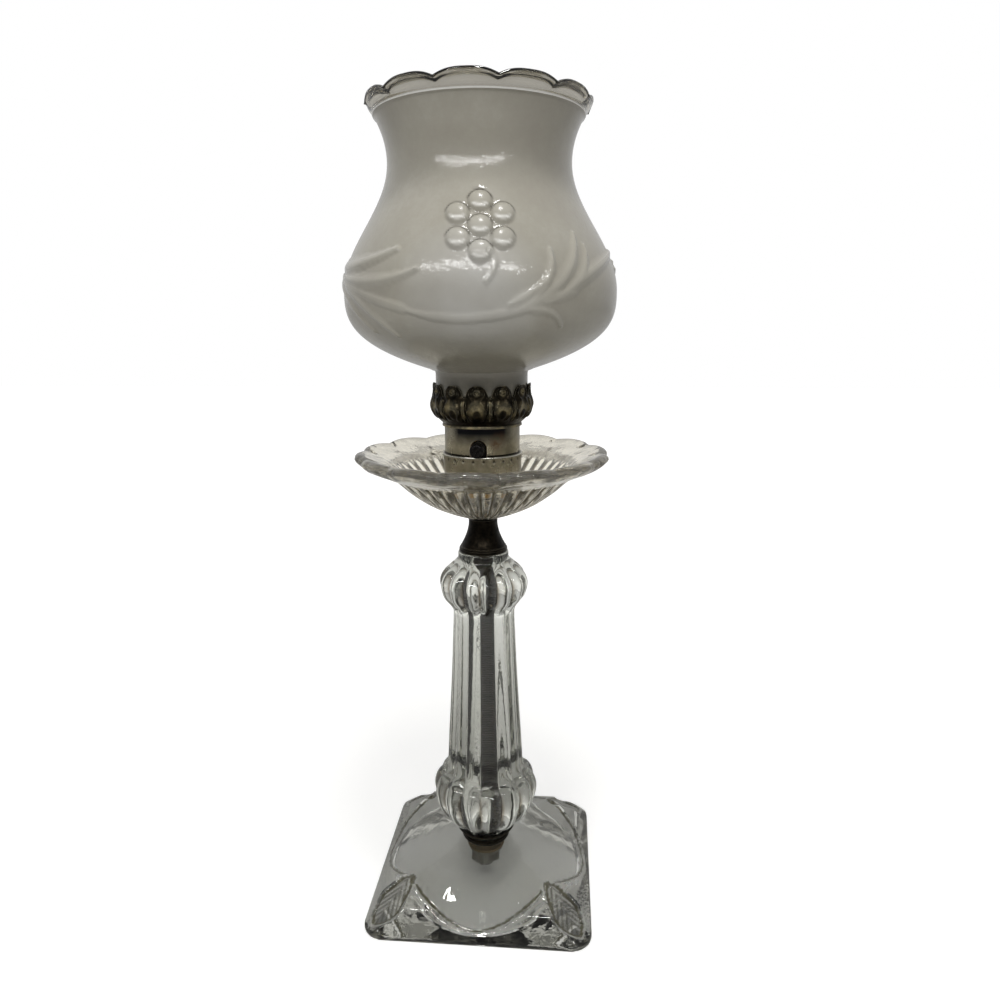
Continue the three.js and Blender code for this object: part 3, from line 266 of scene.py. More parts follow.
def scallop_notch(angle, radius, height):
    """The dips between the scallops, deepest at the very edge."""
    return (1 - lobes(angle, SCALLOPS)) ** 1.6 * np.clip((height - 364.6) / 2.4, 0, 1)


def rim_ridges(angle, radius, height):
    """Three ridges round the outside: two under the rim and one on the shoulder."""
    lower = bump_at(height, FROST_LINE, 0.8)
    upper = 0.8 * bump_at(height, 364.1, 0.9)
    shoulder = 0.7 * bump_at(height, 256.9, 0.9)
    outer = radius > np.interp(height, [250, 258, 359, 368], [20.25, 20.5, 42, 46.3])
    return np.maximum.reduce([lower, upper, shoulder]) * outer


pushed(shade, -2.2, scallop_notch, "Z")
pushed(shade, 0.45, rim_ridges)

# %% [markdown]
# The raised ornament is a traditional one: seven berries over a garland, which runs from one
# spray of leaves to the next, with the same again behind. Modelling each leaf as a mesh of its
# own would leave creases in the glass, so each is a stroke: a path over the wall, with a width
# and a height, as a carver's first cut in the mould. A stroke's points are the angle from the
# middle of the berries, in degrees, and the height in millimetres. The angles are taken as arcs at
# the belly's radius, so that a stroke keeps its width. A berry is a little wider than it is tall.

# %% Berries, garland and leaves
BERRIES_FACE = math.radians(6)
BERRY_RADIUS, BERRY_SPACING, BERRY_HEIGHT, BERRY_SQUEEZE = 4.6, 9.7, 312.7, 1.13
# Sizes of the painted highlight and painted shade lines on the berries.
PAINTED_CRESCENT_RADIUS, LINE = 2.5, 0.8
STROKE_RADIUS, THINNEST_STROKE = 56, 0.9


def turn_from_berries(angle):
    """Angle from the middle of the nearer of the two bunches of berries, as an arc in radians."""
    return (angle - BERRIES_FACE + math.pi / 2) % math.pi - math.pi / 2


def bent_path(start, middle, end, steps=14):
    """Points on a curve from start to end, which the middle point pulls towards itself."""
    share = np.linspace(0, 1, steps)[:, None]
    start, middle, end = (np.array(point, float) for point in (start, middle, end))
    return (1 - share) ** 2 * start + 2 * share * (1 - share) * middle + share ** 2 * end


def stroke(turn, height, path, width, taper):
    """How high a stroke stands: 1 along its spine, 0 at its edges. Its width tapers to its tip."""
    scale = np.array([math.radians(1) * STROKE_RADIUS, 1])
    centre = path[:, 0].mean()
    across = ((turn - centre + 90) % 180 - 90 + centre) * scale[0]
    best = np.zeros_like(turn)
    spine = path * scale
    total = len(spine) - 1
    for i, (a, b) in enumerate(zip(spine, spine[1:])):
        run = b - a
        along = np.clip(((across - a[0]) * run[0] + (height - a[1]) * run[1]) / (run @ run), 0, 1)
        off = np.hypot(across - a[0] - along * run[0], height - a[1] - along * run[1])
        share = (i + along) / total
        half = width * (1 - taper * share ** 2) * np.minimum(1, 0.35 + 2.2 * share)
        best = np.maximum(best, np.clip(1 - (off / np.maximum(half, THINNEST_STROKE)) ** 2, 0, 1))
    return best


LEAVES = [
    ((-95, 303), (-60, 296.5), (-34, 305), 3.4), ((-72, 296.5), (-42, 290), (-24, 297.5), 2.7),
    ((-96, 300), (-66, 291), (-50, 274.5), 2.1), ((-82, 298), (-52, 288.5), (-37, 273), 2.3),
    ((14, 282.5), (34, 289), (43, 311), 3.1), ((24, 285), (44, 290), (47, 307), 2.5),
    ((19, 286), (28, 293), (28, 304.5), 2.2), ((10, 284), (19, 287.5), (26, 294.5), 1.9),
    ((14, 283), (26, 289), (38, 288.5), 2.2), ((30, 287), (48, 300), (80, 307), 2.6),
    ((12, 282), (28, 285), (33, 276.5), 1.9),
]
GARLAND = [((-95, 301), (-60, 291), (-30, 283)), ((-30, 283), (-8, 276), (17, 283))]
BERRY_STEM = ((4, 303), (7, 298.5), (2, 292.5))
WALL_HEIGHTS = heights(246, SHADE_TOP, 0.5)
WALL_RADII = [shade_radius(z) for z in WALL_HEIGHTS]


def outer_face(radius, height):
    """1 on the outside of the wall, 0 on the inside."""
    return (radius > np.interp(height, WALL_HEIGHTS, WALL_RADII) - 1.0) * 1.0


def leaf_relief(angle, radius, height):
    turn = np.degrees(turn_from_berries(angle))
    relief = np.zeros_like(turn)
    for start, middle, end, width in LEAVES:
        blade = stroke(turn, height, bent_path(start, middle, end), 1.25 * width, 0.7)
        relief = np.maximum(relief, np.sqrt(blade) * (0.45 + 0.55 * np.abs(2 * blade - 1)))
    for vine in GARLAND:
        relief = np.maximum(relief, 0.8 * np.sqrt(stroke(turn, height, bent_path(*vine), 1.9, 0)))
    stem = stroke(turn, height, bent_path(*BERRY_STEM), 1.3, 0.5)
    return np.maximum(relief, 0.8 * np.sqrt(stem)) * outer_face(radius, height)


def from_each_berry(angle, radius, height):
    """How far each place lies aside from and above the middle of one berry after another, in mm."""
    turn = turn_from_berries(angle)
    for berry in range(7):
        way = berry * math.pi / 3
        reach = 0 if berry == 6 else BERRY_SPACING
        up = reach * 0.96 * math.cos(way)
        yield turn * radius - reach * math.sin(way), (height - BERRY_HEIGHT - up) * BERRY_SQUEEZE


def berry_relief(angle, radius, height):
    relief = np.zeros_like(angle)
    for aside, above in from_each_berry(angle, radius, height):
        off = np.hypot(aside, above)
        relief = np.maximum(relief, np.sqrt(np.clip(1 - (off / BERRY_RADIUS) ** 2, 0, 1)))
    return relief * outer_face(radius, height)


def painted_berry_light(angle, radius, height):
    """Painted light on each berry: 1 in a painted white highlight curved near its foot, -1 in painted shade
    along its upper edge.
    """
    light = np.zeros_like(angle)
    for aside, above in from_each_berry(angle, radius, height):
        foot = np.clip(1 - np.abs(np.hypot(aside * 0.8, above + 0.2) - PAINTED_CRESCENT_RADIUS) / LINE, 0, 1)
        foot = foot * np.clip(-above - 1.2, 0, 1)
        head = np.clip(1 - np.abs(np.hypot(aside, above) - BERRY_RADIUS) / LINE, 0, 1)
        head = head * np.clip(above / 2, 0, 1)
        darker = np.where((head > 0) & (light <= 0), np.minimum(light, -head), light)
        light = np.where(foot > 0, foot, darker)
    return light * outer_face(radius, height)


leaf_share = leaf_relief(*places(shade))
# Painted light on the berries, kept for the finish: highlights near their feet and shade along their tops.
painted_berry_light_share = painted_berry_light(*places(shade))
berry_share = berry_relief(*places(shade))
pushed(shade, 1.0, lambda *place: leaf_share * np.interp(place[2], [270, 288, 300], [1, 0.65, 1]))
pushed(shade, 2.0, lambda *place: berry_share)
for name, share in {"relief": np.maximum(leaf_share, berry_share), "crescent": painted_berry_light_share,
                    "berry_edge": -painted_berry_light_share, "berry": berry_share}.items():
    marked(shade, name, share)
smoothed(shade, 50)
print("shade:", len(shade.data.polygons), "faces, widest", round(max(places(shade)[1]), 2), "mm")

# %% [markdown]
# ## The ribbed saucer
#
# The saucer is a bowl with forty-two ribs on its outside and a wide flat rim, which ends in
# fourteen lobes like the edge of a pie. The ribs are lobes with sharp valleys between them. They
# end in round arches where the bowl meets the rim, so their depth fades out there in an arch.

# %% Saucer outline
PIPE_HOLE = 5.3
bowl_outside = eased([(9, 189.9), (16.1, 192.4), (25.0, 196.5), (33.5, 202.3), (38.9, 207.1), (43.4, 210.6),
                      (49.6, 213.2), (54.4, 215.2), (56.6, 216.7)], steps=7)
rim_edge = [(57.6, 217.7), (58.1, 218.6), (57.9, 219.5), (57.0, 220.4), (55.6, 220.9), (54.0, 220.7)]
bowl_inside = eased([(54.0, 220.7), (50.5, 219.3), (45.2, 217.0), (42.0, 215.0), (38.6, 211.6), (32.4, 206.2),
                     (25.0, 201.0), (18.0, 196.8), (14.5, 194.9)], steps=6)
saucer_outline = [(PIPE_HOLE, 189.9), *bowl_outside, *rim_edge, *bowl_inside[1:], (PIPE_HOLE, 194.9)]
saucer = turned("saucer", saucer_outline, sides=504)

# %% Ribs, lobes and the pie edge
RIBS, RIM_LOBES = 42, 14
RIB_ARCH, STEP_ARCH = 41.5, 42.6


def under_side(radius, height):
    line = np.array(bowl_outside)
    return (height < np.interp(radius, line[:, 0], line[:, 1]) + 0.8) * 1.0


def rib_valley(angle, radius, height):
    """Narrow valleys between round ribs. Each rib ends in an arch under the rim."""
    crest = lobes(angle, RIBS)
    arch = RIB_ARCH + 2.6 * crest
    ends = np.clip((arch - radius) / 1.2, 0, 1) * np.clip((radius - 10) / 4, 0, 1)
    return (1 - crest ** 0.75) * ends * under_side(radius, height)


def arch_step(angle, radius, height):
    """The rim's underside stands out a little past the arched ends of the ribs."""
    arch = STEP_ARCH + 2.2 * lobes(angle, RIBS) ** 0.5
    return np.clip((radius - arch) / 0.8, 0, 1) * between(radius, 42, 46, 3) * under_side(radius, height)


def lobe_notch(angle, radius, height):
    """The notches between the lobes of the rim."""
    return (1 - lobes(angle, RIM_LOBES)) ** 1.3 * np.clip((radius - 50) / 6, 0, 1)


def edge_dents(angle, radius, height):
    """Two small dents in each lobe, as a thumb leaves in a crust."""
    return (1 - lobes(angle, 3 * RIM_LOBES, math.pi / 2)) ** 2 * np.clip((radius - 55) / 1.5, 0, 1)


def lobe_dimples(angle, radius, height):
    """A slanted dimple on the rim's upper side at each notch."""
    off = ((angle * RIM_LOBES / math.tau) % 1 - 0.5) * math.tau / RIM_LOBES
    spot = 1 - ((off * radius + (radius - 52) * 0.5) / 1.6) ** 2 - ((radius - 51.8) / 3.2) ** 2
    return np.clip(spot, 0, 1) * (under_side(radius, height) < 0.5)


def sagging_lobes(angle, radius, height):
    """The rim droops a little at each notch."""
    return (1 - lobes(angle, RIM_LOBES)) * np.clip((radius - 46) / 10, 0, 1)


rim_dust = 0.12 * between(places(saucer)[1], 47, 60, 3)
# The rib valleys are marked for dust and painted shade, and the flat rim for a thin film of dust.
marked(saucer, "valley", np.maximum(2.2 * rib_valley(*places(saucer)) - 0.5, rim_dust))
pushed(saucer, -1.25, rib_valley)
pushed(saucer, 0.35, arch_step)
pushed(saucer, -0.8, lobe_dimples)
pushed(saucer, -1.0, sagging_lobes, "Z")


def drawn_in(piece, depth, share):
    """Moves vertices towards the axis by depth in mm times their share."""
    angle, radius, height = places(piece)
    weights = np.clip(share(angle, radius, height), 0, 1)
    for axis, out in (("X", np.sin(angle)), ("Y", -np.cos(angle))):
        for side in (1, -1):
            pushed(piece, -side * depth, lambda *place: weights * np.clip(side * out, 0, 1), axis)


drawn_in(saucer, 2.0, lobe_notch)
drawn_in(saucer, 0.5, edge_dents)
smoothed(saucer, 50)
print("saucer:", len(saucer.data.polygons), "faces, widest", round(max(places(saucer)[1]), 2), "mm")

# %% [markdown]
# ## The fluted column
#
# The column is a hollow glass tube with a round bulge at each end and fourteen flutes all the way
# up. The flutes are convex, with sharp valleys, and they swell over the bulges like the sections
# of a melon. The hole for the pipe is smooth.

# %% Column
COLUMN_BOTTOM, COLUMN_TOP, BORE = 25.1, 172.8, 7.0
column_outside = eased([
    (10.3, 25.3), (10.4, 27.2), (12.6, 29.3), (16.3, 31.3), (19.8, 34.2), (22.4, 37.4), (24.7, 42.6),
    (25.9, 48.6), (25.3, 53.0), (23.5, 56.4), (20.9, 58.6), (19.3, 61.0), (18.7, 65.1), (17.9, 80),
    (16.9, 96), (15.8, 116), (14.9, 136), (14.75, 141.5), (15.0, 144.5), (16.6, 147.3), (19.6, 151.2),
    (21.0, 156.5), (20.6, 160.0), (18.8, 163.2), (15.6, 166.2), (12.6, 168.9), (11.9, 170.4)], steps=5)
column_outline = [
    (BORE, COLUMN_BOTTOM), *column_outside, (11.9, 172.4), (11.5, COLUMN_TOP), (BORE, COLUMN_TOP)]
column = turned("column", column_outline, sides=224)
FLUTES = 14


def flute_valley(angle, radius, height):
    """Sharp valleys between round flutes, deepest over the two bulges."""
    swell = np.maximum(bump_at(height, 46, 16), bump_at(height, 155.5, 12.5))
    depth = np.maximum(between(height, 58, 150, 6) * 0.42, swell)
    return (1 - lobes(angle, FLUTES, math.pi / 2)) * depth * (radius > 9)


# The flute valleys are marked for dust and painted shade.
marked(column, "valley", 0.8 * flute_valley(*places(column)) ** 2)
pushed(column, -2.2, flute_valley)
smoothed(column, 50)
print("column:", len(column.data.polygons), "faces")

# %% [markdown]
# ## The square glass foot
#
# The foot is one heavy pressing: four lobes run down to the middles of the sides, and each corner
# is a block with a hollow leaf. Its solid is already right, but pressed glass has no sharp edge
# anywhere. A bevel fails on such a mesh, where many cuts meet, so a copy is wrapped in even
# little squares (a voxel remesh) and then relaxed, which rounds every edge as the fire does.

# %% Foot, wrapped and fire-polished
def copied(node, name):
    """A copy of a measured node with its loose triangles joined, ready to be worked on."""
    clear_selection()
    piece = nodes[node].copy()
    piece.data = nodes[node].data.copy()
    bpy.context.scene.collection.objects.link(piece)
    piece.parent = None
    for key in list(piece.keys()):
        del piece[key]
    piece.name = piece.data.name = name
    piece.data.materials.clear()
    only(piece)
    bpy.ops.object.mode_set(mode="EDIT")
    bpy.ops.mesh.select_all(action="SELECT")
    bpy.ops.mesh.remove_doubles(threshold=0.002 * MM)
    bpy.ops.object.mode_set(mode="OBJECT")
    return piece


base = copied("glass_base", "base")
wrap = base.modifiers.new("wrap", "REMESH")
wrap.mode = "VOXEL"
wrap.voxel_size = 0.75 * MM
bpy.ops.object.modifier_apply(modifier=wrap.name)
relax = base.modifiers.new("relax", "SMOOTH")
relax.factor = 0.5
relax.iterations = 6
bpy.ops.object.modifier_apply(modifier=relax.name)


LEAF_START, LEAF_LENGTH, LEAF_HALF_WIDTH, VEIN_SPACING = 43.5, 25, 10.5, 3.4


def along_and_aside(angle, radius):
    """Distance out along the nearest corner's diagonal, and aside from it, in mm."""
    off = angle % (math.pi / 2) - math.pi / 4
    return radius * np.cos(off), np.abs(radius * np.sin(off))


def leaf_veins(angle, radius, height):
    """Slanting veins on a corner leaf, between 0 and 1."""
    out, aside = along_and_aside(angle, radius)
    return 0.5 + 0.5 * np.sin((out - 1.3 * aside) * math.tau / VEIN_SPACING)


def leaf_hollow(angle, radius, height):
    """An almond-shaped hollow with a raised rib, on each corner, its point towards the dome."""
    out, aside = along_and_aside(angle, radius)
    along = (out - LEAF_START) / LEAF_LENGTH
    half = LEAF_HALF_WIDTH * np.sqrt(np.clip(along, 0, 1)) * np.clip(1.15 - along ** 4, 0, 1)
    depth = np.clip((half - aside) / 1.1, 0, 1) * (0.55 + 0.45 * np.clip(aside / 5, 0, 1))
    return depth * np.clip(along / 0.1, 0, 1) * (height > 3)


def creases(piece):
    """1 at a vertex in a sharp crease and 0 on the flat, and with it how far the vertex faces up."""
    count = len(piece.data.vertices)
    points, normals = np.empty(3 * count), np.empty(3 * count)
    piece.data.vertices.foreach_get("co", points)
    piece.data.vertices.foreach_get("normal", normals)
    ends = np.empty(2 * len(piece.data.edges), dtype=int)
    piece.data.edges.foreach_get("vertices", ends)
    points, normals, ends = points.reshape(-1, 3), normals.reshape(-1, 3), ends.reshape(-1, 2)
    total, near = np.zeros_like(points), np.zeros(count)
    for one, other in ((0, 1), (1, 0)):
        np.add.at(total, ends[:, one], points[ends[:, other]])
        np.add.at(near, ends[:, one], 1)
    rise = ((total / near[:, None] - points) * normals).sum(axis=1)
    return np.clip((rise / MM - 0.006) / 0.03, 0, 1), normals[:, 2]


leaf_floor = leaf_hollow(*places(base)) > 0.3
pushed(base, -1.8, leaf_hollow)
only(base)
bpy.ops.object.shade_smooth()
crease, facing = creases(base)
# Sharp creases and the veined leaf floors are marked for dust and painted shade.
vein_dust_and_shade = (0.28 + 0.3 * leaf_veins(*places(base))) * leaf_floor
marked(base, "valley", np.maximum(crease, vein_dust_and_shade) * (facing > 0.05))
marked(base, "underside", -2 * facing * (places(base)[2] > 1.0))
print("base:", len(base.data.polygons), "faces,", round(float((facing < -0.3).mean()), 2), "of them under it")

# %% [markdown]
# ## The gallery
#
# The gallery is a thin cast ring that holds the shade's neck. It rises from a plain foot to a
# bulge, and ends in twelve tabs, each with a round boss, over a petal with a smaller boss. The
# spaces between the tabs are open, and the neck's glass shows in them.

# %% Gallery
MOTIFS = 12
TAB_MIDDLE, PETAL_MIDDLE, PETAL_TOP, SMALL_BOSS = 248.3, 240.5, 244.4, 238.6
gallery_outside = eased([
    (18.1, 232.6), (18.1, 233.2), (17.9, 234.0), (19.2, 235.2), (21.2, 237.3), (22.6, 239.8),
    (23.0, 242.1), (22.5, 244.5), (21.85, 247.0), (21.65, 249.2), (21.65, 251.2)], steps=5)
gallery_inside = [
    (20.95, 251.2), (20.95, 249.0), (20.95, 247.2), (20.9, 246.25), (15.0, 246.2), (15.0, 245.5),
    (20.9, 245.5), (21.9, 243.4), (22.2, 241.6), (21.6, 239.6), (20.2, 237.4), (18.2, 235.3),
    (17.4, 234.1), (17.4, 232.6)]
gallery = turned("gallery", [*gallery_outside, *gallery_inside], sides=288)


def motif_place(angle):
    """Arc from the middle of the nearest motif, as a share of half its room: 0 in the middle."""
    return np.abs(((angle * MOTIFS / math.tau + 0.5) % 1 - 0.5) * 2)


def motif_arc(angle, radius):
    """The same arc in mm."""
    return motif_place(angle) * math.pi / MOTIFS * radius


def gallery_face(radius, height):
    """True on the outside of the casting."""
    return radius > np.interp(height, [232, 235, 239, 243, 247, 252], [17.7, 18.6, 21.9, 22.4, 21.4, 21.3])


def gap_drop(angle, radius, height):
    """Lowers the top edge between the tabs, whose own tops are round."""
    off = motif_place(angle)
    fall = 1 - np.sqrt(np.clip(1 - np.clip(off / 0.86, 0, 1) ** 2.8, 0, 1))
    return fall * np.clip((height - 246.4) / 4.8, 0, 1) * (radius > 20)


def boss(angle, radius, height, middle, half_width):
    """A round boss on each motif."""
    off = motif_arc(angle, radius)
    return np.sqrt(np.clip(1 - (off ** 2 + (height - middle) ** 2) / half_width ** 2, 0, 1))


def motif_relief(angle, radius, height):
    """A domed tab with a raised edge, a petal's outline with a small boss, and a bar at its side."""
    off = motif_arc(angle, radius)
    dome = boss(angle, radius, height, TAB_MIDDLE, 2.1)
    lower = 0.7 * boss(angle, radius, height, SMALL_BOSS, 1.5)
    edge = 0.55 * np.clip(1 - (np.hypot(off, height - 248.0) - 3.3) ** 2 / 0.4, 0, 1) * (height > 245.6)
    petal_line = 4.2 - np.abs(height - PETAL_MIDDLE) * 0.55
    petal = 0.6 * np.clip(1 - (off - petal_line) ** 2 / 0.5, 0, 1) * between(height, 237, PETAL_TOP, 0.8)
    bar = 0.5 * np.clip((off - 5.0) / 0.4, 0, 1) * between(height, 237.2, 244.6, 1.2)
    waist = 0.5 * np.clip(1 - (off - 1.8) ** 2 / 0.5, 0, 1) * between(height, 243.2, 245.6, 0.5)
    return np.maximum.reduce([dome, lower, edge, petal, bar, waist]) * gallery_face(radius, height)


def motif_hollow(angle, radius, height):
    """The hollows that set off the dome, the petal and the bar."""
    off = motif_arc(angle, radius)
    cup = np.clip(1 - np.hypot(off, height - 248.2) / 2.9, 0, 1) * (height > 245.4)
    petal = np.clip(1 - np.hypot(off / 1.1, (height - 240.6) / 1.25) / 3.0, 0, 1)
    groove = np.clip(1 - (off - 4.7) ** 2 / 0.3, 0, 1) * between(height, 236.5, 245, 1)
    return np.maximum.reduce([cup, petal, groove]) * gallery_face(radius, height)


def motif_marks(angle, radius, height):
    """Where hands have rubbed the dark skin off: domes, petals and the bars between them."""
    off = motif_arc(angle, radius)
    dome = boss(angle, radius, height, 248.5, 1.7)
    petal = np.clip(1.4 - np.hypot(off / 1.25, (height - 241.6) / 1.1) / 2.5, 0, 1) * (height < 245)
    petal = petal * np.clip((np.hypot(off, height - 239.3) - 1.5) / 0.5, 0, 1)
    bar = np.clip((off - 4.9) / 0.3, 0, 1) * between(height, 237.5, PETAL_TOP, 1.0)
    lip = between(height, 232.0, 233.3, 0.4)
    return np.maximum.reduce([0.9 * dome, petal, 0.4 * bar, lip]) * (radius > 17.7)


marked(gallery, "rubbed", motif_marks(*places(gallery)))
pushed(gallery, -4.6, gap_drop, "Z")
pushed(gallery, -0.5, motif_hollow)
pushed(gallery, 0.95, motif_relief)
smoothed(gallery, 55)
print("gallery:", len(gallery.data.polygons), "faces, widest", round(max(places(gallery)[1]), 2), "mm")

# %% [markdown]
# ## The neck, the rings and the socket
#
# The neck is a spun spool of brass, blackened with age, with a hammered lower half. Under the
# column are a dished ring and a thin flat one. The socket has a cup with a rolled bead and a row
# of punched dots, and a sleeve with a slot for the switch.

# %% Neck spool
spool_outside = eased([(11.3, 173.1), (11.3, 174.4), (10.9, 175.2), (9.6, 177.4), (8.3, 180.2), (7.3, 183.2),
                       (6.75, 186.4), (6.9, 188.4), (7.6, 189.6)], steps=6)
spool = turned("spool", [(PIPE_HOLE, 173.1), *spool_outside, (PIPE_HOLE, 189.6)], sides=128)


def spool_rings(angle, radius, height):
    """Fine turned grooves: two near the foot of the spool and one near its top."""
    return np.maximum.reduce([bump_at(height, line, 0.35) for line in (175.0, 175.9, 188.3)]) * (radius > 6)


pushed(spool, -0.25, spool_rings)
smoothed(spool)

# %% [markdown]
# The pipe shows dark through the column. It is black iron with a rolled thread from end to end,
# drawn here as a fine saw-tooth outline, one tooth to each 0.94 mm.

# %% Threaded pipe
PIPE_BOTTOM, PIPE_TOP, PIPE_RADIUS, PIPE_BORE, THREAD_PITCH = 3.0, 208.9, 5.0, 3.5, 0.94
teeth = []
for start in heights(PIPE_BOTTOM + 0.4, PIPE_TOP - 0.4, THREAD_PITCH):
    teeth += [(PIPE_RADIUS - 0.42, start), (PIPE_RADIUS, start + THREAD_PITCH * 0.45)]
pipe = turned("pipe", [(PIPE_BORE, PIPE_BOTTOM), (PIPE_RADIUS - 0.5, PIPE_BOTTOM), *teeth,
                       (PIPE_RADIUS - 0.5, PIPE_TOP), (PIPE_BORE, PIPE_TOP)], sides=40)
smoothed(pipe, 75)
print("pipe:", len(pipe.data.polygons), "faces")

# %% [markdown]
# The bulb shows only when the shade is off. It is blown in a candle's shape, so it gets a smooth
# thin wall: one curve outside and one a wall's thickness inside it, which meet at the tip.

# %% Bulb
BULB_NECK, BULB_HEIGHT, BULB_WALL = 12.0, 67.9, 0.8
bulb_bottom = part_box("bulb_glass")[0][2] / MM
bulb_outside = eased([
    (BULB_NECK, 0), (12.1, 5.4), (13.9, 16.3), (15.2, 27.2), (15.5, 34.0), (14.6, 43.0), (10.2, 53.0),
    (6.2, 60.0), (2.6, 65.3), (0.9, 67.6), (0, BULB_HEIGHT)], steps=5)
bulb_inside = [(r, z) for r, z in beside(bulb_outside, BULB_WALL) if r > 0.3 and z > 0]
bulb_outline = [
    (BULB_NECK - BULB_WALL, 0), *bulb_outside, (0, BULB_HEIGHT - BULB_WALL), *reversed(bulb_inside)]
bulb = turned("bulb", [(r, bulb_bottom + z) for r, z in bulb_outline], sides=96)
only(bulb)
bpy.ops.object.mode_set(mode="EDIT")
bpy.ops.mesh.select_all(action="SELECT")
bpy.ops.mesh.delete_loose(use_verts=True, use_edges=True, use_faces=False)
bpy.ops.object.mode_set(mode="OBJECT")
smoothed(bulb, 60)
print("bulb:", len(bulb.data.polygons), "faces, from", round(bulb_bottom, 1), "mm")

# %% Cup ring and seat ring
cup_ring = turned("cup_ring", [
    (PIPE_HOLE, 23.9), (11.3, 23.9), (12.0, 24.1),
    *eased([(12.5, 24.6), (13.3, 25.7), (14.2, 26.8)], steps=4),
    (14.6, 27.0), (14.5, 27.25), (14.1, 27.3), (13.6, 27.1), (12.4, 25.7), (11.55, 24.8),
    (PIPE_HOLE, 24.8)], sides=160)


def hammered(angle, radius, height):
    """A band of small hammered dents round the dish."""
    row = np.abs(np.cos(angle * 30)) * np.clip((radius - 12.2) / 0.5, 0, 1)
    return row * np.clip((27.0 - height) / 0.6, 0, 1)


pushed(cup_ring, -0.3, hammered)
smoothed(cup_ring)
seat_ring = turned("seat_ring", [
    (PIPE_HOLE, 20.8), (11.2, 20.8), (11.65, 20.95), (11.95, 21.3), (12.0, 21.8), (11.75, 22.15),
    (11.75, 22.4), (11.95, 22.7), (11.9, 23.2), (11.65, 23.5), (11.2, 23.6), (PIPE_HOLE, 23.6)], sides=128)
smoothed(seat_ring)

# %% [markdown]
# The cup's bead is a half-round roll of the sheet's edge. The punched dots were struck from
# outside with a blunt point, one every few millimetres just under the bead.

# %% Socket cap
CAP_RADIUS, CAP_TOP, DOTS, DOT_HEIGHT = 17.9, 220.1, 24, 218.1
cap_outside = eased([(6.9, 206.6), (11.0, 206.7), (13.9, 207.1), (15.9, 208.2), (17.2, 209.9), (17.8, 212.2),
                     (CAP_RADIUS, 215.0)], steps=6)
dot_band = [(CAP_RADIUS, z) for z in [216.6, *heights(217.3, 218.9, 0.2), 219.2]]
cap_bead = [(18.1, 219.35), (18.24, 219.6), (18.24, 219.85), (18.1, 220.05), (CAP_RADIUS, CAP_TOP)]
cap_inside = [(17.4, CAP_TOP), (17.4, 215.0), (17.3, 212.4), (16.7, 210.3), (15.5, 208.8), (13.6, 207.65),
              (11.0, 207.2), (6.9, 207.1)]
cap = turned("cap", [*cap_outside, *dot_band, *cap_bead, *cap_inside], sides=360)


def punched_dots(angle, radius, height):
    """A row of small round pits on the outside of the cup."""
    off = np.abs(((angle * DOTS / math.tau) % 1 - 0.5)) * math.tau / DOTS * radius
    return np.sqrt(np.clip(1 - np.hypot(off, height - DOT_HEIGHT) / 0.75, 0, 1)) * (radius > 17.6)


marked(cap, "pit", punched_dots(*places(cap)))
pushed(cap, -0.4, punched_dots)
smoothed(cap)

# %% [markdown]
# The sleeve is a tube of thin sheet with a slot at the front and the back. The slots are cut out
# with a Boolean modifier: a bar with a round top is laid across the tube and taken away from it.

# %% Socket sleeve
SWITCH_HEIGHT, SLOT_HALF = 224.0, 3.85
BAR_TOP, BAR_HEIGHT, BAR_LENGTH = 224.0, 10, 50
shell_outline = [(17.1, 214.6), (17.1, 221.2), (17.1, 243.6), (17.0, 244.6), (16.85, 245.2), (16.6, 245.2),
                 (16.6, 244.0), (16.6, 221.2), (16.6, 214.6)]
shell = turned("shell", shell_outline, sides=192)
clear_selection()
bpy.ops.mesh.primitive_cube_add(size=1, location=(0, 0, (BAR_TOP - BAR_HEIGHT / 2) * MM),
                                scale=(2 * SLOT_HALF * MM, BAR_LENGTH * MM, BAR_HEIGHT * MM))
slot_tool = bpy.context.object
bpy.ops.object.transform_apply(location=True, rotation=True, scale=True)
bpy.ops.object.mode_set(mode="EDIT")
bpy.ops.mesh.select_all(action="DESELECT")
bpy.ops.object.mode_set(mode="OBJECT")
for edge in slot_tool.data.edges:
    ends = [slot_tool.data.vertices[i].co for i in edge.vertices]
    on_top = all(end.z > (BAR_TOP - 1) * MM for end in ends)
    edge.select = on_top and abs(ends[0].y - ends[1].y) > BAR_LENGTH / 2 * MM
bpy.ops.object.mode_set(mode="EDIT")
bpy.ops.mesh.bevel(offset=SLOT_HALF * 0.98 * MM, segments=12, profile=0.5)
bpy.ops.mesh.select_all(action="SELECT")
bpy.ops.transform.translate(value=(0, 0, (SWITCH_HEIGHT + SLOT_HALF - BAR_TOP) * MM))
bpy.ops.object.mode_set(mode="OBJECT")
only(shell)
cut = shell.modifiers.new("slots", "BOOLEAN")
cut.operation = "DIFFERENCE"
cut.object = slot_tool
bpy.ops.object.modifier_apply(modifier=cut.name)
bpy.data.objects.remove(slot_tool)
smoothed(shell, 30)
print("shell:", len(shell.data.polygons), "faces")

# %% [markdown]
# The two switch buttons are turned from black moulded stock, with a rounded end and a fine ring
# near it. They are drawn upright and then laid over with one turn about X.

# %% Switch buttons
ROD_HOLE, ROD_HOLE_DEPTH, KNOB_RADIUS = 1.6, 5.0, 3.1


